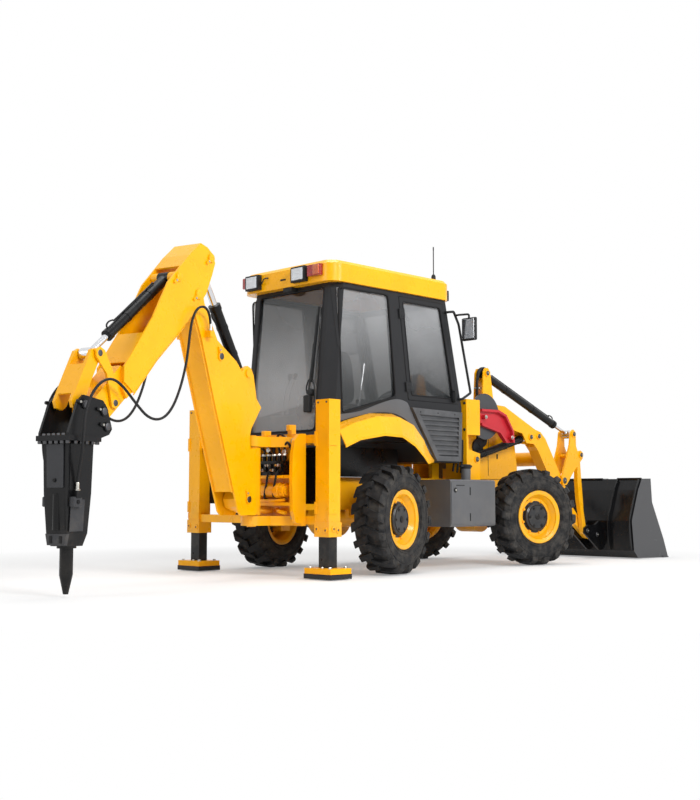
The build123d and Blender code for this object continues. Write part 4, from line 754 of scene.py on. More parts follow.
def on_face(face, rows, lift=0.0):
    """World places on a leaning end wall from rows of (Y, height), lifted off it by a distance."""
    (low_x, low_z), (high_x, high_z) = face
    rows = np.asarray(rows, float)
    x = low_x + (high_x - low_x) * (rows[:, 1] - low_z) / (high_z - low_z)
    away = 1 if low_x > 0 else -1
    return np.stack((REAR_AXLE + x + away * lift, rows[:, 0], rows[:, 1]), -1)


def window_ring(corners, up, radius, corner=0.045):
    """A closed round seal along corners turned by curves."""
    return sweep(rounded(corners, corner), circle(radius, 8), up, closed=True)


class AddSeals(bpy.types.Operator):
    """Add rubber seals round the windows, the sash and the door"""

    bl_idname = "loader.seals"
    bl_label = "Window seals"

    def execute(self, context):
        radius = context.scene.loader_sizes.seal
        rings = []
        for face, half, low, high, size in ((REAR_FACE, 0.432, 1.262, 2.545, radius),
                                            (FRONT_FACE, 0.505, 1.575, 2.53, 0.004), (FOOT_FACE, 0.28, 1.1, 1.48, radius)):
            corners = ((-half, low), (half, low), (half, high), (-half, high))
            rings.append(window_ring(on_face(face, corners, -0.002), AHEAD, size))
        rings += both([window_ring(loader(QUARTER, 0.578), LEFT, radius)])
        rings += [window_ring(loader(outline, y), LEFT, 0.0045, 0.02) for outline, y in ((SASH, -0.58), (DOOR, 0.58))]
        surface("window_seals", rings, "seal", "chassis", 60)
        fillers = both([plate_between(at(((-0.474, 0.5005, 2.535), (-0.388, 0.5825, 2.535))),
                                      at(((-0.452, 0.5705, 2.0), (-0.434, 0.5825, 2.0))), (-1, 1, 0), 0.005)])
        surface("corner_fillers", fillers, "dark", "chassis")
        for body, y in (("door_right", -0.582), ("door_left", 0.582)):
            surface(f"{body}_seal", [window_ring(loader(SASH_PANE, y), LEFT, 0.0075, 0.03)], "seal", body, 60)
        return {"FINISHED"}


class AddWiper(bpy.types.Operator):
    """Add the rear window's wiper with its motor cover, arm and blade"""

    bl_idname = "loader.wiper"
    bl_label = "Rear wiper"

    def execute(self, context):
        def bar(rows, lift, width, height):
            return sweep(spline(on_face(REAR_FACE, rows, lift)), oblong(width, height, 0.003), AHEAD)

        lead = ((-0.33, 1.57), (-0.3, 1.64), (-0.335, 1.72), (-0.4, 1.66), (-0.42, 1.5))
        surface("rear_wiper", [
            bar(((-0.352, 1.6), (-0.36, 1.7), (-0.372, 1.88), (-0.378, 2.03)), 0.03, 0.02, 0.009),
            bar(((-0.36, 1.76), (-0.372, 2.03), (-0.383, 2.29)), 0.018, 0.016, 0.008),
            bar(((-0.357, 1.69), (-0.367, 1.9), (-0.377, 2.15), (-0.386, 2.37)), 0.004, 0.009, 0.022),
            lathe(((0.032, -0.02), (0.032, 0.02), (0.026, 0.032), (0.0, 0.036)),
                  on_face(REAR_FACE, ((-0.352, 1.6),)), (-1, 0, 0), 28),
            blocks(on_face(REAR_FACE, ((-0.33, 1.5),), 0.012), (0.045, 0.075, 0.15), 0.012),
            hose_tube(on_face(REAR_FACE, lead, 0.012), 0.006),
        ], "trim", "chassis", 40)
        return {"FINISHED"}


# lamp lenses: Y, X ahead of the rear axle, height of the middle, breadth, height, way it faces
WORK_LENSES = ((0.41, -0.616, 2.671, 0.15, 0.108, -1), (-0.22, -0.616, 2.671, 0.15, 0.108, -1),
               (-0.445, 1.13, 2.65, 0.12, 0.074, 1), (0.445, 1.13, 2.65, 0.12, 0.074, 1))


class AddLamps(bpy.types.Operator):
    """Add lamp lenses, their brackets and leads"""

    bl_idname = "loader.lamps"
    bl_label = "Lamp lenses"

    def execute(self, context):
        lenses, shells = [], []
        for y, x, z, breadth, tall, face in WORK_LENSES:
            lenses.append(blocks(at((x + face * 0.002, y, z)), (0.014, breadth, tall), 0.006))
            rim = [(x + face * 0.001, y + a * (breadth / 2 + 0.006), z + b * (tall / 2 + 0.006))
                   for a, b in ((-1, -1), (1, -1), (1, 1), (-1, 1))]
            shells.append(window_ring(at(rim), AHEAD, 0.007, 0.014))
        surface("work_lenses", lenses, "lamp", "chassis")
        for y in (0.30, -0.325):
            lead = ((-0.575, y + 0.02, 2.66), (-0.6, y - 0.02, 2.655), (-0.6, y - 0.05, 2.69), (-0.572, y - 0.075, 2.7))
            shells.append(hose_tube(at(lead), 0.006))
        shells += [blocks(at((-0.572, 0.02, 2.655)), (0.01, 0.07, 0.014), 0.004),
                   blocks(at((-0.5, -0.02, 2.565)), (0.12, 0.12, 0.05), 0.015)]
        surface("lamp_shells", shells, "trim", "chassis")
        tails = [blocks(at((-0.613, -0.455, 2.682)), (0.012, 0.076, 0.086), 0.005),
                 blocks(at((-0.56, 0.562, 2.682)), (0.07, 0.01, 0.086), 0.004)]
        surface("tail_lenses", tails, "amber", "chassis")
        return {"FINISHED"}


def cushion(size, centre, lean):
    """Crowned pad: a superellipsoid whose outline r(a) = 1 - 0.03 cos(4a) pulls the sides in, with a seam groove.

    P(t, a) = centre + lean * (w cos(t)^0.35 cx(a), d cos(t)^0.35 cy(a), h sin(t)^0.7), powers keep their sign.
    """
    def power(value, degree):
        return np.sign(value) * np.abs(value) ** degree

    t = np.linspace(-pi / 2, pi / 2, 26)[:, None]
    a = (np.arange(56) * 2 * pi / 56)[None, :]
    spread = power(np.cos(t), 0.35) * (1 - 0.03 * np.cos(4 * a)) * (1 - 0.025 * np.exp(-(t / 0.12) ** 2))
    x, y = power(np.cos(a), 0.42) * spread, power(np.sin(a), 0.42) * spread
    crown = 1 - 0.1 * np.exp(-((np.abs(y) - 0.62) / 0.05) ** 2)
    z = power(np.sin(t), 0.7) * crown
    local = np.stack((x * size[0] / 2, y * size[1] / 2, z * size[2] / 2), -1)
    matrix = np.array(Euler((0, lean, 0)).to_matrix())
    return (np.asarray(centre) + local @ matrix.T)[None], False, True


class AddSeat(bpy.types.Operator):
    """Replace the plain seat by padded cushions on a pedestal"""

    bl_idname = "loader.seat"
    bl_label = "Seat"

    def execute(self, context):
        base = surface("seat_base_cushion", [cushion((0.5, 0.5, 0.13), at((0.27, 0, 1.475)), -0.04)], "cloth", "chassis", 60)
        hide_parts("seat")
        back = surface("seat_back_cushion", [cushion((0.12, 0.48, 0.52), at((0.045, 0, 1.79)), -0.15)], "cloth", "chassis",
                       60)
        surface("seat_pedestal", [
            blocks(at((0.26, 0, 1.333)), (0.36, 0.36, 0.18), 0.03), blocks(at((0.26, 0, 1.405)), (0.42, 0.42, 0.05), 0.015),
            blocks(at(((0.22, -0.3, 1.56), (0.22, 0.3, 1.56))), (0.3, 0.07, 0.045), 0.018),
            *[hose_tube(at(((0.1, side * 0.3, 1.55), (0.1, side * 0.3, 1.42), (0.16, side * 0.2, 1.38))), 0.012)
              for side in (-1, 1)]], "trim", "chassis")
        return {"FINISHED"}


class AddLevers(bpy.types.Operator):
    """Add the digging levers at the back of the cab and a handle on the column"""

    bl_idname = "loader.levers"
    bl_label = "Control levers"

    def execute(self, context):
        rods, knobs = [], []
        for y in (-0.27, -0.2, 0.2, 0.27):
            rods.append(hose_tube(at(((-0.34, y, 1.3), (-0.33, y, 1.6), (-0.25, y * 1.05, 1.78))), 0.008))
            knobs.append(lathe(((0.0, -0.01), (0.016, 0.0), (0.022, 0.03), (0.02, 0.055), (0.0, 0.066)),
                               at((-0.25, y * 1.05, 1.78)), (0.35, 0, 0.94), 18))
        rods.append(hose_tube(at(((-0.05, -0.42, 1.3), (-0.02, -0.43, 1.62), (0.04, -0.42, 1.9))), 0.011))
        surface("lever_rods", rods, "chrome", "chassis")
        box = blocks(at((-0.36, 0, 1.33)), (0.2, 0.7, 0.2), 0.03)
        surface("lever_knobs", [*knobs, box], "trim", "chassis")
        return {"FINISHED"}


# ---------------------------------------------------------------- panels and fittings on the chassis
# edges of the belt panel: distance ahead of the rear axle, height
BELT_TOP = ((-0.52, 1.392), (-0.2, 1.44), (0.1, 1.535), (0.29, 1.578), (0.425, 1.562), (0.475, 1.515), (0.56, 1.385),
            (0.7, 1.2), (0.8, 1.07))
BELT_FOOT = ((-0.54, 1.315), (-0.3, 1.378), (0.0, 1.438), (0.23, 1.447), (0.34, 1.425), (0.43, 1.392), (0.5, 1.33),
             (0.61, 1.232), (0.765, 1.088))


class AddBodyTrim(bpy.types.Operator):
    """Add the belt panels, tank doors, handles, mirror glasses and covers on the chassis, and black sheets of painted
    shade in the wheel arches
    """

    bl_idname = "loader.body_trim"
    bl_label = "Body trim"

    def execute(self, context):
        belt = plate_between(spline(loader(BELT_TOP, 0.5795)), spline(loader(BELT_FOOT, 0.5795)), LEFT, 0.006)
        surface("belt_panels", both([belt]), "belt", "chassis", bevel=0.0015)

        rear, front, face = 0.835, 1.49, 0.7802
        door = plate_between(at(((rear, face, 0.82), (front, face, 0.82))),
                             at(((rear, face, 0.425), (front, face, 0.425))), LEFT, 0.005)
        surface("tank_doors", both([door]), "belt", "chassis", bevel=0.002)
        middle = rear + 0.42 * (front - rear)
        lock = at((rear + 0.055, 0.785, 0.745))
        cap = at((1.225, -0.64, 0.965))
        fittings = both([
            blocks(at(((middle, 0.786, 0.735), (middle, 0.786, 0.49))), (0.014, 0.006, 0.075), 0.0028),
            blocks(at((rear + 0.13, 0.786, 0.79)), (0.12, 0.006, 0.008), 0.0028),
            lathe(((0.022, -0.002), (0.022, 0.006), (0.018, 0.009), (0.0, 0.009)), lock, LEFT, 24)])
        fittings += [lathe(((0.05, -0.012), (0.052, 0.006), (0.052, 0.022), (0.044, 0.03), (0.0, 0.032)), cap, UP, 32),
                     blocks(cap + ((0.058, 0, 0.012), (-0.058, 0, 0.012)), (0.05, 0.03, 0.02), 0.006)]
        surface("tank_fittings", fittings, "trim", "chassis")
        barrel = lathe(((0.01, 0.0), (0.01, 0.0115), (0.008, 0.0125), (0.0, 0.0125)), lock, LEFT, 18)
        surface("tank_locks", both([barrel]), "zinc", "chassis")

        glass = blocks(at((1.105, 0.78, 2.295)), (0.008, 0.145, 0.19), 0.0035)
        surface("mirror_glasses", both([glass]), "chrome", "chassis")
        shells = both([blocks(at((1.128, 0.78, 2.295)), (0.032, 0.172, 0.222), 0.014)])
        shells += [lathe(((0.018, -0.03), (0.022, -0.02), (0.022, 0.05), (0.014, 0.07), (0.0, 0.072)),
                         at((0.96, -0.47, 2.775)), UP, 24),
                   lathe(((0.006, 0.0), (0.006, 0.03), (0.0, 0.034)), at((0.96, -0.47, 3.085)), UP, 12)]
        surface("mirror_shells", shells, "trim", "chassis")
        screws = caps(at([(x, 0.61, 1.475) for x in (0.6, 0.85, 1.1)]), LEFT, 0.008, 0.003)
        surface("cab_screws", both([screws]), "trim", "chassis")
        # painted shade: black sheets close the wheel arches, which are dark inside
        rear, front, near, far = -0.79, 0.5, 0.34, 0.79
        shade_sheets = [plate_between(loader(((rear, 1.13), (front, 1.13)), 0.4), loader(((rear, 0.86), (front, 0.86)), 0.4),
                                LEFT, 0.006),
                  plate_between(at(((rear, near, 1.1), (rear, far, 1.1))), at(((rear, near, 0.62), (rear, far, 0.62))),
                                (-1, 0, 0), 0.006)]
        surface("wheel_arch_shade_sheets", both(shade_sheets), "black", "chassis")
        return {"FINISHED"}


class AddDoorParts(bpy.types.Operator):
    """Add handles and hinge pins on the door and the sash"""

    bl_idname = "loader.door_parts"
    bl_label = "Door handles"

    def execute(self, context):
        for body, side, x, z, slope in (("door_right", -1, 1.098, 1.65, 0.132), ("door_left", 1, 1.095, 1.435, 0.1117)):
            y = side * 0.584
            grip = hose_tube(at(((x, y, z - 0.05), (x, y + side * 0.035, z - 0.045), (x, y + side * 0.035, z + 0.045),
                                 (x, y, z + 0.05))), 0.008)
            pins = at([(0.318 + (2.545 - level) * slope, side * 0.5893, level) for level in (1.7, 2.38)])
            heads = lathe(((0.0, -0.047), (0.0115, -0.045), (0.0115, -0.036), (0.0095, -0.034), (0.0095, 0.034),
                           (0.0115, 0.036), (0.0115, 0.045), (0.0, 0.047)), pins, (-0.13, 0, 0.99), 16)
            screws = [(x + step, side * 0.598, z + rise) for x, _, z in pins for step in (0.02, 0.042)
                      for rise in (-0.02, 0.02)]
            surface(f"{body}_fittings", [grip, heads, caps(screws, (0, side, 0), 0.006, 0.003)], "trim", body)
        return {"FINISHED"}


class AddBonnetParts(bpy.types.Operator):
    """Add the round covers, the seam and the catches on the bonnet"""

    bl_idname = "loader.bonnet_parts"
    bl_label = "Bonnet parts"

    def execute(self, context):
        profile = ((0.084, -0.001), (0.084, 0.012), (0.078, 0.018), (0.03, 0.019), (0.026, 0.014), (0.0, 0.014))
        covers = lathe(profile, at(((1.84, 0.345, 1.275), (1.77, 0.345, 1.19))), LEFT, 40)
        surface("bonnet_covers", both([covers]), "dark", "bonnet")
        seams = [sweep(loader(((1.95, 0.9), (1.95, 1.12), (1.96, 1.34)), 0.3458), oblong(0.006, 0.004, 0.001), LEFT),
                 blocks(at((2.1, 0.347, 1.1)), (0.02, 0.006, 0.05), 0.0028)]
        surface("bonnet_seams", both(seams), "trim", "bonnet")
        return {"FINISHED"}


# ---------------------------------------------------------------- pins and their locks
# body, face from the middle plane of the arm, places ahead of the rear axle, radius
LOADER_PINS = (
    ("loader_arms", 0.517, ((1.738, 1.934), (2.61, 1.325), (2.47, 1.312)), 0.024),
    ("tilt_levers", 0.543, ((3.225, 1.37), (3.36, 1.145)), 0.024),
    ("loader_bucket", 0.543, ((3.645, 0.265), (3.455, 0.311)), 0.026),
    ("loader_arms", 0.531, ((3.05, 0.86),), 0.034),
    ("chassis", 0.563, ((1.5, 1.054),), 0.026),
)
# body, face from the boom's middle plane, places behind the kingpost, radius, direction of the lock tab
BACKHOE_PINS = (
    ("boom", 0.122, ((0.2, 0.66), (0.59, 1.8)), 0.028, (0.4, 0.9)),
    ("dipper", 0.144, ((1.15, 2.35), (0.757, 2.562)), 0.028, (0.77, -0.63)),
    ("dipper", 0.144, ((0.907, 2.252),), 0.034, (0.77, -0.63)),
    ("tool_levers", 0.111, ((1.975, 1.68), (1.81, 1.34)), 0.026, (0.5, 0.86)),
    ("breaker", 0.152, ((1.96, 1.27), (2.15, 1.31), (1.925, 1.165)), 0.026, (1.0, 0.2)),
)
NIPPLE = ((0.006, 0.0), (0.006, 0.012), (0.004, 0.016), (0.0, 0.017))


class AddPins(bpy.types.Operator):
    """Add pin ends, lock tabs and their bolts on the loader and the backhoe"""

    bl_idname = "loader.pins"
    bl_label = "Pins and lock tabs"

    def execute(self, context):
        small = context.scene.loader_sizes.bolt * 0.75
        for index, (body, face, places, radius) in enumerate(LOADER_PINS):
            spots = loader(places, face)
            surface(f"pin_ends_{index}", both([caps(spots, LEFT, radius)]), "steel", body)
            surface(f"pin_nipples_{index}", both([lathe(NIPPLE, spots, LEFT, 12)]), "zinc", body)
        for index, (body, face, places, radius, way) in enumerate(BACKHOE_PINS):
            along = way[0] * BACK + way[1] * UP
            ends, locks = "yellow_clean" if body == "dipper" else "steel", "tool" if body == "breaker" else "yellow"
            for side in (1, -1):
                spots, axis = behind([(r, z, side * face) for r, z in places]), SIDE * side
                tail = f"{index}_{side + 1}"
                surface(f"boom_pin_ends_{tail}", [caps(spots, axis, radius, 0.0035)], ends, body)
                if body != "tool_levers":
                    tabs = spots + along * (radius + 0.026) - axis * 0.012
                    surface(f"pin_locks_{tail}", [keepers(tabs, axis, along, 0.03, 0.012, 0.016)], locks, body)
                    surface(f"pin_bolts_{tail}", [hexagons(tabs + axis * 0.014, axis, small, 0.008)], "zinc", body)
        return {"FINISHED"}


# ---------------------------------------------------------------- pipes on the rams
# body, base and eye in a side plane, length closed, bore; the pipe lies on the side given by (in the plane, outwards)
LOADER_RAMS = (
    ("tilt_barrels", (1.738, 1.934), (3.225, 1.37), 1.385, 0.04, (1.0, 0.0)),
    ("lift_barrels", (1.5, 1.054), (2.47, 1.312), 0.955, 0.038, (0.0, 1.0)),
)
BACKHOE_RAMS = (
    ("boom_barrel", (0.15, 1.0), (0.59, 1.8), 0.89, 0.049, (1.0, 0.0)),
    ("dipper_barrel", (0.19, 1.7), (0.757, 2.562), 0.705, 0.046, (1.0, 0.0)),
    ("tool_barrel", (1.15, 2.35), (1.975, 1.68), 0.89, 0.04, (1.0, 0.0)),
)


PIPE = 0.0065


def ram_pipe(base, eye, closed, bore, way, loop):
    """Route of a feed pipe on a barrel, as rows of (along the plane x, height, side), and the clip places.

    It leaves the barrel near its base, runs beside it and turns in a loop back to the gland.
    """
    base, eye = np.array(base), np.array(eye)
    lean = (eye - base) / np.linalg.norm(eye - base)
    normal = np.array((-lean[1], lean[0])) if -lean[1] * way[0] + lean[0] >= 0 else np.array((lean[1], -lean[0]))
    gland = closed - 1.15 * bore - 0.018
    off = bore + PIPE + 0.002
    rows = []
    for along, out in ((0.15, 0.84 * bore), (0.155, off), (0.2, off), (0.5 * gland, off), (gland - 0.16, off),
                       (gland - 0.12, off + loop * 0.5), (gland - 0.08, off + loop), (gland - 0.045, off + loop * 0.6),
                       (gland - 0.04, 0.84 * bore)):
        spot = base + lean * along + normal * out * way[0]
        rows.append((spot[0], spot[1], out * way[1]))
    clips = [base + lean * along for along in (0.3 * gland, 0.68 * gland)]
    return np.array(rows), clips, lean


def clip(bore, half, place, axis):
    """A band round a barrel."""
    return ring(((bore - 0.001, -half), (bore + 0.003, -half), (bore + 0.003, half), (bore - 0.001, half)), place,
                axis, 40)


class AddRamPipes(bpy.types.Operator):
    """Add feed pipes and clips to the rams"""

    bl_idname = "loader.ram_pipes"
    bl_label = "Ram pipes"

    def execute(self, context):
        for body, base, eye, closed, bore, way in LOADER_RAMS:
            rows, clips, lean = ram_pipe(base, eye, closed, bore, way, 0.02 if way[0] else 0.0)
            parts = []
            for side in (1, -1):
                parts.append(hose_tube(loader(rows[:, :2], side * (0.445 + rows[:, 2])), PIPE))
                parts += [clip(bore, 0.012, loader((place,), side * 0.445), (lean[0], 0, lean[1])) for place in clips]
            surface(f"{body}_pipes", parts, "black", body, 40)
        for body, base, eye, closed, bore, way in BACKHOE_RAMS:
            rows, clips, lean = ram_pipe(base, eye, closed, bore, way, 0.022)
            parts = [clip(bore, 0.013, behind((*place, 0.0)), lean[0] * BACK + lean[1] * UP) for place in clips]
            surface(f"{body}_pipes", [hose_tube(behind(rows), PIPE), *parts], "black", body, 40)
        return {"FINISHED"}


# ---------------------------------------------------------------- backhoe, carriage and stabilisers
# route of each breaker hose: distance behind the kingpost, height, distance from the boom's middle plane
HOSE_ROUTE = (
    (0.775, 1.98, 0.15), (0.775, 2.058, 0.15), (0.83, 2.125, 0.17), (0.905, 2.155, 0.187), (0.988, 2.13, 0.187),
    (1.045, 2.05, 0.187), (1.075, 1.94, 0.187), (1.093, 1.815, 0.187), (1.122, 1.67, 0.187), (1.185, 1.49, 0.187),
    (1.28, 1.325, 0.187), (1.4, 1.24, 0.187), (1.545, 1.245, 0.187), (1.69, 1.35, 0.187), (1.815, 1.455, 0.187),
    (1.93, 1.505, 0.187), (2.045, 1.47, 0.187), (2.135, 1.375, 0.187), (2.19, 1.24, 0.187), (2.203, 1.1, 0.189),
    (2.205, 0.98, 0.18), (2.2, 0.875, 0.155), (2.195, 0.79, 0.133), (2.195, 0.72, 0.133),
)
CRIMP = ((0.0155, -0.004), (0.0155, 0.014), (0.0135, 0.016), (0.0135, 0.052), (0.0125, 0.056), (0.0102, 0.056),
         (0.0102, 0.04))


class AddHoses(bpy.types.Operator):
    """Add the two breaker hoses as smooth curves with their crimped ends"""

    bl_idname = "loader.hoses"
    bl_label = "Breaker hoses"

    def execute(self, context):
        for name, side in (("breaker_hose_right", -1), ("breaker_hose_left", 1)):
            route = [backhoe(r, z, side * d) for r, z, d in HOSE_ROUTE]
            curve = bpy.data.curves.new(f"{name}_cord", "CURVE")
            curve.dimensions = "3D"
            curve.bevel_depth = 0.01
            curve.bevel_resolution = 4
            curve.resolution_u = 12
            curve.use_fill_caps = True
            line = curve.splines.new("NURBS")
            line.points.add(len(route) - 1)
            line.points.foreach_set("co", np.array([(*point, 1.0) for point in route]).ravel())
            line.order_u = 3
            line.use_endpoint_u = True
            cord = bpy.data.objects.new(f"{name}_cord", curve)
            context.scene.collection.objects.link(cord)
            curve.materials.append(LOOKS["hose"].material)
            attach(cord, "boom")
            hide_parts(name)
        for body, (r, z, d) in (("boom", HOSE_ROUTE[0]), ("breaker", HOSE_ROUTE[-1])):
            places = behind(((r, z, d), (r, z, -d)))
            surface(f"hose_crimps_{body}", [lathe(CRIMP, places, UP, 24), hexagons(places, UP, 0.02, 0.012)], "zinc",
                    body)
        return {"FINISHED"}


class AddCarriageParts(bpy.types.Operator):
    """Add bolts, pipes, valve spools and hoses on the sliding carriage"""

    bl_idname = "loader.carriage_parts"
    bl_label = "Carriage parts"

    def execute(self, context):
        back = (-1, 0, 0)
        corners = carriage([(0.016, y, z) for y in (-0.24, 0.24) for z in (0.51, 1.15)])
        small = carriage([(0, y, z) for y in (-0.13, 0.13) for z in (0.48, 1.19)]
                         + [(0, y, z) for y in (-0.27, 0.27) for z in (0.6, 0.8, 0.93, 1.05)])
        surface("carriage_bolts", [washers(corners, back, 0.027, 0.004), hexagons(corners, back, 0.021, 0.018),
                                   hexagons(small, back, 0.013, 0.01)], "zinc", "carriage")

        stubs = carriage([(0.044, -0.16 + 0.064 * step, 1.03) for step in range(6)])
        spools = carriage([(0.098, -0.16 + 0.064 * step, 0.945 - 0.04 * (step % 2)) for step in range(6)])
        ports = carriage(((0.03, -0.16, 1.06), (0.03, 0.04, 1.08), (0.03, 0.18, 1.05)))
        surface("valve_fittings", [
            hexagons(stubs, UP, 0.022, 0.016),
            lathe(((0.013, 0.0), (0.013, 0.028), (0.009, 0.032), (0.009, 0.05), (0.0, 0.05)), spools, back, 16),
            lathe(((0.024, -0.002), (0.024, 0.02), (0.019, 0.026), (0.0, 0.026)), ports, back, 20)],
            "zinc", "carriage")

        pipes = []
        # side of a stub, side of its far end, height of the bend
        for y, end, top in ((-0.16, -0.235, 1.13), (-0.096, 0.02, 1.17), (-0.032, -0.19, 1.2), (0.032, 0.21, 1.16),
                            (0.096, 0.235, 1.1), (0.16, 0.05, 1.14)):
            pipes.append(hose_tube(carriage((
                (0.044, y, 1.04), (0.046, y, 1.08), (0.05, (2 * y + end) / 3, top), (0.044, (y + 2 * end) / 3, top),
                (0.028, end, top - 0.06), (0.01, end, top - 0.1))), context.scene.loader_sizes.hose))
        for y, z, drop in ((-0.13, 0.8, 0.7), (-0.02, 0.78, 0.68), (0.12, 0.8, 0.7)):
            pipes.append(hose_tube(carriage(((0.084, y, 0.9), (0.104, y, 0.88), (0.107, y + 0.02, z),
                                             (0.1, y + 0.05, drop), (0.06, y + 0.06, drop - 0.02))), 0.0095))
        surface("carriage_hoses", pipes, "hose", "carriage", 60)

        steel = [hose_tube(carriage(rows), radius) for radius, rows in (
            (0.014, ((0.07, -0.2, 0.655), (0.088, -0.1, 0.648), (0.088, 0.1, 0.648), (0.07, 0.2, 0.655))),
            (0.02, ((0.02, 0.02, 0.56), (0.075, 0.06, 0.555), (0.085, 0.17, 0.575), (0.04, 0.235, 0.6))),
            (0.018, ((0.02, -0.05, 0.575), (0.07, -0.12, 0.56), (0.06, -0.2, 0.545))))]
        collars = [ring(((0.0605, -0.03), (0.066, -0.028), (0.066, 0.028), (0.0605, 0.03)),
                        carriage((0.056, y, 0.735)), LEFT, 40) for y in (-0.12, 0.12)]
        lugs = [blocks(carriage(((0.006, -0.175, 1.265), (0.006, 0.145, 1.225))), (0.03, 0.05, 0.05), 0.008),
                keepers(carriage(((0.1, -0.15, 0.849), (0.1, 0.15, 0.849))), back, LEFT, 0.05, 0.011, 0.006)]
        surface("carriage_pipes", steel + collars + lugs, "yellow", "carriage")
        return {"FINISHED"}


class AddStabiliserParts(bpy.types.Operator):
    """Add bolts on the pads and the housings, and a black disc of painted shade in each leg's lock hole"""

    bl_idname = "loader.stabiliser_parts"
    bl_label = "Stabiliser parts"

    def execute(self, context):
        back = (-1, 0, 0)
        faces, tops = [], []
        for name, side in (("left", 1), ("right", -1)):
            y, body = side * STAB_Y, f"stabiliser_{name}"
            bolts = at([(STAB_X + a, y + b, 0.095) for a in (-0.088, 0.088) for b in (-0.118, 0.118)])
            rims = at([(STAB_X + a, y, 0.095) for a in (-0.062, 0.062)])
            surface(f"pad_bolts_{name}", [washers(bolts, UP, 0.019), hexagons(bolts, UP, 0.0135, 0.013),
                                          hexagons(rims, UP, 0.01, 0.01)], "zinc", body)
            # painted shade: a thin black disc stands in for the dark lock hole
            hole = lathe(((0.013, -0.002), (0.013, 0.002), (0.0, 0.002)), at((STAB_X - 0.046, y + 0.03, 0.165)), back, 20)
            surface(f"leg_lock_{name}", [hole], "black", body)
            faces += [((-0.073, y - 0.05, 0.405), back), ((-0.073, y + 0.055, 0.415), back),
                      ((-0.02, y + side * 0.088, 0.415), (0, side, 0)), ((0.03, y + side * 0.088, 0.405), (0, side, 0))]
            tops += [((-0.065, y + step, 1.465), back) for step in (-0.05, 0.05)]
        places, axes = np.array(faces + tops, float).transpose(1, 0, 2)
        places = at(places + (STAB_X, 0, 0))
        count = len(faces)
        surface("housing_washers", [lathe(((0.024, -0.002), (0.024, 0.007), (0.021, 0.009), (0.012, 0.009), (0.011, 0.004),
                                           (0.0, 0.004)), places[:count], axes[:count], 28)], "yellow", "chassis")
        surface("housing_bolts", [hexagons(places, axes, 0.0095, 0.006)], "steel", "chassis")
        return {"FINISHED"}


def rear_plate(top, foot, thick):
    """A plate on the breaker's rear; top and foot are (distance behind the kingpost, height, half breadth)."""
    edges = [behind(((r, z, -half), (r, z, half))) for r, z, half in (top, foot)]
    return plate_between(*edges, BACK, thick)


def side_plate(side, top, foot, thick):
    """A plate on the breaker's side; top and foot are (fore end, rear end, height, distance from the middle)."""
    edges = [behind(((fore, z, side * d), (rear, z, side * d))) for fore, rear, z, d in (top, foot)]
    return plate_between(*edges, SIDE * side, thick)


class AddBreakerParts(bpy.types.Operator):
    """Add the breaker's flange bolts, face plates and lower bolts, and black pieces of painted shade in its recessed
    faces, slots and holes
    """

    bl_idname = "loader.breaker_parts"
    bl_label = "Breaker parts"

    def execute(self, context):
        inner = [(r, 1.092, d) for r in (2.006, 2.29) for d in np.linspace(-0.09, 0.09, 5)]
        under = [(r, 1.056, d) for r in (2.008, 2.29) for d in np.linspace(-0.13, 0.13, 6)]
        under += [(r, 1.056, d) for d in (-0.136, 0.136) for r in (2.06, 2.115, 2.17, 2.225)]
        surface("breaker_bolts", [hexagons(behind(inner), UP, 0.014, 0.014), hexagons(behind(under), -UP, 0.015, 0.02)],
                "steel", "breaker")
        plates = [rear_plate((2.2715, 1.035, 0.078), (2.2645, 0.74, 0.07488), 0.008),
                  rear_plate((2.2265, 0.43, 0.098), (2.2265, 0.352, 0.08), 0.028)]
        # painted shade: black sheets, blocks and discs in the recessed faces, slots and holes
        recesses = [
            lathe(((0.03, 0.0), (0.03, 0.24), (0.026, 0.245), (0.0, 0.245)), behind((2.246, 0.455, 0.0)), UP, 28),
            rear_plate((2.2625, 0.725, 0.085), (2.25, 0.455, 0.082), 0.002),
            *[blocks(behind((2.255, 0.39, d)), (0.006, 0.028, 0.05), 0.0028, SWING) for d in (-0.045, 0.045)],
            lathe(((0.014, -0.002), (0.014, 0.006), (0.01, 0.009), (0.0, 0.009)), behind((2.2755, 0.79, 0.0)), BACK, 20)]
        for side in (-1, 1):
            plates += [side_plate(side, (2.105, 2.235, 0.66, 0.1125), (2.105, 2.235, 0.445, 0.1), 0.006),
                       blocks(behind((2.2, 0.645, side * 0.123)), (0.09, 0.05, 0.07), 0.012, SWING)]
            recesses += [lathe(((0.014, -0.002), (0.014, 0.005), (0.0, 0.006)), behind((2.2, 0.645, side * 0.148)),
                               SIDE * side, 20),
                         side_plate(side, (2.135, 2.255, 1.045, 0.1175), (2.15, 2.25, 0.7, 0.1102), 0.004)]
        surface("breaker_plates", plates, "plate", "breaker", bevel=0.002)
        surface("breaker_recesses", recesses, "black", "breaker")
        return {"FINISHED"}


def bead(path, radius=0.005, pitch=0.011):
    """A weld bead: a tube whose radius swells r (1 + 0.22 cos) with every ripple along a straight run."""
    start, end = np.asarray(path, float)
    span = np.linalg.norm(end - start)
    count = max(int(span / pitch) * 4, 8)
    t = np.linspace(0, 1, count)
    points, _, closed = sweep(start + (end - start) * t[:, None], circle(radius, 8))
    swell = 1 + 0.22 * np.cos(t * span / pitch * 2 * pi)
    swell = np.concatenate(((1.0,), swell, (1.0,)))[None, :, None, None]
    middle = points.mean(2, keepdims=True)
    return middle + (points - middle) * swell, False, closed


def bead_run(places, side, face, shift):
    """Beads between neighbouring places (distance behind the kingpost, height) on a side face of the backhoe."""
    spots = behind([(r + shift[0], z + shift[1], side * face) for r, z in places])
    return [bead(ends) for ends in zip(spots, spots[1:])]


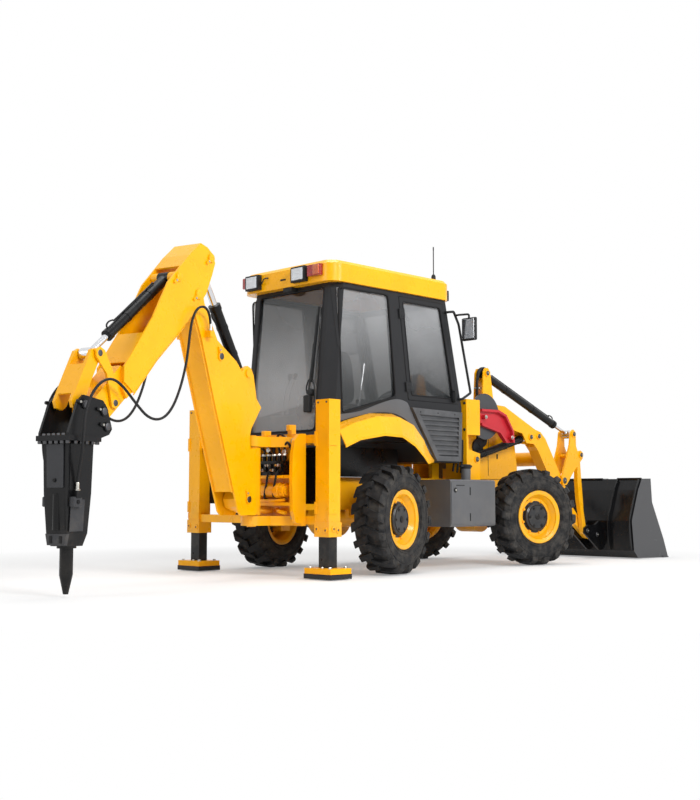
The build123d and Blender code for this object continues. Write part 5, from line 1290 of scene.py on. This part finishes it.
class AddWelds(bpy.types.Operator):
    """Add weld beads along the boom, the dipper, the arms and the rear frame"""

    bl_idname = "loader.welds"
    bl_label = "Weld beads"

    def execute(self, context):
        boom, dipper, chassis, arms = [], [], [], []
        web = ((0.392, 0.72), (0.629, 1.344), (0.838, 1.925), (0.925, 2.108))
        back = ((1.64, 1.424), (1.389, 1.698), (1.06, 2.0))
        for side in (1, -1):
            boom += bead_run(web, side, 0.094, (0.013, -0.004))
            dipper += bead_run(back, side, 0.118, (-0.01, -0.012))
            for y in (side * STAB_Y + 0.077, side * STAB_Y - 0.077):
                chassis.append(bead(at(((STAB_X - 0.068, y, 0.48), (STAB_X - 0.068, y, 0.535))), 0.003))
            arms.append(bead(at(((1.69, side * 0.5, 1.634), (1.83, side * 0.5, 1.63))), 0.006))
        for name, beads, look, body in (
                ("boom", boom, "yellow_clean", "boom"), ("dipper", dipper, "yellow_clean", "dipper"),
                ("frame", chassis, "yellow", "chassis"), ("arm", arms, "yellow", "loader_arms")):
            surface(f"{name}_welds", beads, look, body, 60)
        return {"FINISHED"}


# ---------------------------------------------------------------- loader
class AddBucketParts(bpy.types.Operator):
    """Add ribs on the bucket's back, its top plate, edge bolts and wear strips"""

    bl_idname = "loader.bucket_parts"
    bl_label = "Bucket parts"

    def execute(self, context):
        back = np.array(((3.748, 0.1), (3.716, 0.25), (3.712, 0.42), (3.775, 0.58), (3.854, 0.755), (3.926, 0.868)))
        ribs = [sweep(spline(loader(back - (0.018, 0.0), y), 6), oblong(0.05, 0.016, 0.003), LEFT)
                for y in (-0.66, 0.66, -0.93, 0.93)]
        lips = [sweep(at(((3.93, low, 0.884), (3.93, high, 0.884))), oblong(0.03, 0.026, 0.006), UP)
                for low, high in ((-0.94, -0.64), (-0.44, 0.44), (0.64, 0.94))]
        surface("bucket_ribs", ribs + lips, "bucket", "loader_bucket")
        bolts = at([(4.405, y, 0.031) for y in np.linspace(-0.84, 0.84, 7)])
        surface("bucket_edge_bolts", [caps(bolts, (0.27, 0, 1), 0.018, 0.006)], "steel", "loader_bucket")
        plate = plate_between(at(((3.98, -0.42, 0.8885), (4.09, -0.42, 0.8905))),
                              at(((3.98, -0.12, 0.8885), (4.09, -0.12, 0.8905))), UP, 0.004)
        surface("bucket_plate", [plate], "black", "loader_bucket")
        return {"FINISHED"}


class AddTowerHoses(bpy.types.Operator):
    """Add the clamped hoses behind each loader tower and along the arms"""

    bl_idname = "loader.tower_hoses"
    bl_label = "Tower hoses"

    def execute(self, context):
        arms, tower = [], []
        for side in (1, -1):
            for step in (0.0, 0.022):
                route = ((1.682 - step, 1.6), (1.67 - step, 1.72), (1.676 - step, 1.86), (1.702 - step * 0.4, 1.955),
                         (1.745, 1.99), (1.805, 1.978), (1.848, 1.95))
                arms.append(hose_tube(loader(route, side * (0.43 + step)), 0.012))
            for step, route in enumerate((((1.2, 0.93), (1.235, 1.12), (1.262, 1.36)),
                                          ((1.225, 0.92), (1.262, 1.1), (1.275, 1.3)),
                                          ((1.252, 0.915), (1.272, 1.06), (1.28, 1.24)))):
                tower.append(hose_tube(loader(route, side * (0.5 + 0.028 * step)), context.scene.loader_sizes.hose))
        surface("arm_hoses", arms, "hose", "loader_arms", 60)
        surface("tower_hoses", tower, "hose", "chassis", 60)
        clamps = both([blocks(at((1.672, 0.443, 1.78)), (0.05, 0.07, 0.02), 0.006)])
        surface("arm_hose_clamps", clamps, "zinc", "loader_arms")
        strut = at(((1.64, -0.569, 1.48), (2.07, -0.569, 1.29)))
        surface("strut_bolts", [hexagons(strut, (0, -1, 0), 0.014, 0.012), washers(strut, (0, -1, 0), 0.02, 0.004)],
                "zinc", "loader_arms")
        tower_bolts = at([(1.29, side * 0.575, z) for side in (1, -1) for z in (1.34, 1.6)])
        surface("tower_bolts", [caps(tower_bolts, (-1, 0, 0), 0.014, 0.005)], "steel", "chassis")
        return {"FINISHED"}


# ---------------------------------------------------------------- stage
FLOOR_HALF = 60.0
# name, place, power in watts, size in metres
LIGHTS = (
    ("key", (-3.5, -9.5, 6.5), 600, 3.0),
    ("side", (3.0, -10.0, 5.5), 340, 4.0),
    ("rear", (-9.5, 1.0, 5.0), 150, 4.0),
    ("top", (0.0, 0.0, 9.0), 420, 5.0),
)
CAMERA_PLACE = (-8.1305, -7.872, 0.67)
CAMERA_RISE = 4.78          # degrees that the view looks up
CAMERA_HEADING = 44.82      # degrees from X towards Y that the view looks along
LENS = 60.32                # millimetres on a 36 mm wide sensor


def white_where_seen(tree, shader, near, far):
    """Blend a shader towards plain white on camera, gloss and transmission rays, more so away from the middle."""
    nodes = Tree(tree)
    path = nodes.node("ShaderNodeLightPath").out.node
    camera, glossy, through = [Socket(nodes, path.outputs[f"Is {kind} Ray"])
                               for kind in ("Camera", "Glossy", "Transmission")]
    seen = nodes.node("ShaderNodeMath", {"use_clamp": True}, {0: camera + glossy, 1: through})
    reach = nodes.node("ShaderNodeVectorMath", {"operation": "LENGTH"}, {0: nodes.where}, output="Value")
    share = nodes.node("ShaderNodeMapRange", {}, {0: reach, 1: 3.0, 2: 5.6, 3: near, 4: far})
    white = nodes.node("ShaderNodeEmission", {}, {"Strength": 1.0})
    return nodes.node("ShaderNodeMixShader", {}, {0: seen * share, 1: Socket(nodes, shader), 2: white}).out


class BuildStage(bpy.types.Operator):
    """Add the floor, lights, world and camera"""

    bl_idname = "loader.build_stage"
    bl_label = "Build the stage"

    def execute(self, context):
        scene = context.scene
        mesh = bpy.data.meshes.new("floor")
        corners = [(x * FLOOR_HALF, y * FLOOR_HALF, 0) for x, y in ((-1, -1), (1, -1), (1, 1), (-1, 1))]
        mesh.from_pydata(corners, [], [(0, 1, 2, 3)])
        floor = bpy.data.objects.new("floor", mesh)
        scene.collection.objects.link(floor)
        material = bpy.data.materials.new("floor_white")
        material.use_nodes = True
        tree = material.node_tree
        shader = tree.nodes["Principled BSDF"]
        shader.inputs["Base Color"].default_value = (0.9, 0.9, 0.9, 1)
        shader.inputs["Roughness"].default_value = 0.7
        shader.inputs["Specular IOR Level"].default_value = 0.1
        tree.links.new(white_where_seen(tree, shader.outputs[0], 0.24, 1.0), tree.nodes["Material Output"].inputs[0])
        mesh.materials.append(material)

        world = bpy.data.worlds.new("studio")
        scene.world = world
        world.use_nodes = True
        tree = world.node_tree
        sky = tree.nodes["Background"]
        sky.inputs["Color"].default_value = (1, 1, 1, 1)
        sky.inputs["Strength"].default_value = 0.38
        tree.links.new(white_where_seen(tree, sky.outputs[0], 1.0, 1.0), tree.nodes["World Output"].inputs[0])

        for name, place, power, size in LIGHTS:
            light = bpy.data.lights.new(name, "AREA")
            light.energy = power
            light.size = size
            lamp = bpy.data.objects.new(name, light)
            lamp.location = place
            lamp.rotation_euler = (-lamp.location).to_track_quat("-Z", "Y").to_euler()
            scene.collection.objects.link(lamp)

        camera = bpy.data.cameras.new("camera")
        camera.lens = LENS
        camera.sensor_width = 36
        camera.sensor_fit = "HORIZONTAL"
        camera.clip_end = 300
        view = bpy.data.objects.new("camera", camera)
        view.location = CAMERA_PLACE
        view.rotation_euler = (radians(90 + CAMERA_RISE), 0, radians(CAMERA_HEADING - 90))
        scene.collection.objects.link(view)
        scene.camera = view
        scene.view_settings.view_transform = "Standard"
        return {"FINISHED"}


class LoaderPanel(bpy.types.Panel):
    """Sidebar panel with the settings and one button per step"""

    bl_label = "Backhoe Loader"
    bl_idname = "VIEW3D_PT_backhoe_loader"
    bl_space_type = "VIEW_3D"
    bl_region_type = "UI"
    bl_category = "Backhoe Loader"

    def draw(self, context):
        for settings in (context.scene.loader_finish, context.scene.loader_sizes):
            box = self.layout.box()
            for key in settings.__annotations__:
                box.prop(settings, key)
        for step in STEPS:
            self.layout.operator(step.bl_idname)


STEPS = (PaintParts, AddWheelHardware, AddSeals, AddWiper, AddLamps, AddSeat, AddLevers, AddBodyTrim, AddDoorParts,
         AddBonnetParts, AddPins, AddRamPipes, AddHoses, AddCarriageParts, AddStabiliserParts, AddBreakerParts,
         AddWelds, AddBucketParts, AddTowerHoses, BuildStage)
CLASSES = (FinishSettings, SizeSettings, *STEPS, LoaderPanel)


def register():
    for item in CLASSES:
        bpy.utils.register_class(item)
    bpy.types.Scene.loader_finish = PointerProperty(type=FinishSettings)
    bpy.types.Scene.loader_sizes = PointerProperty(type=SizeSettings)


def unregister():
    del bpy.types.Scene.loader_sizes
    del bpy.types.Scene.loader_finish
    for item in reversed(CLASSES):
        bpy.utils.unregister_class(item)


def main():
    register()
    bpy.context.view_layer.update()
    for step in STEPS:
        group, name = step.bl_idname.split(".")
        getattr(getattr(bpy.ops, group), name)()


if __name__ == "__main__":
    main()
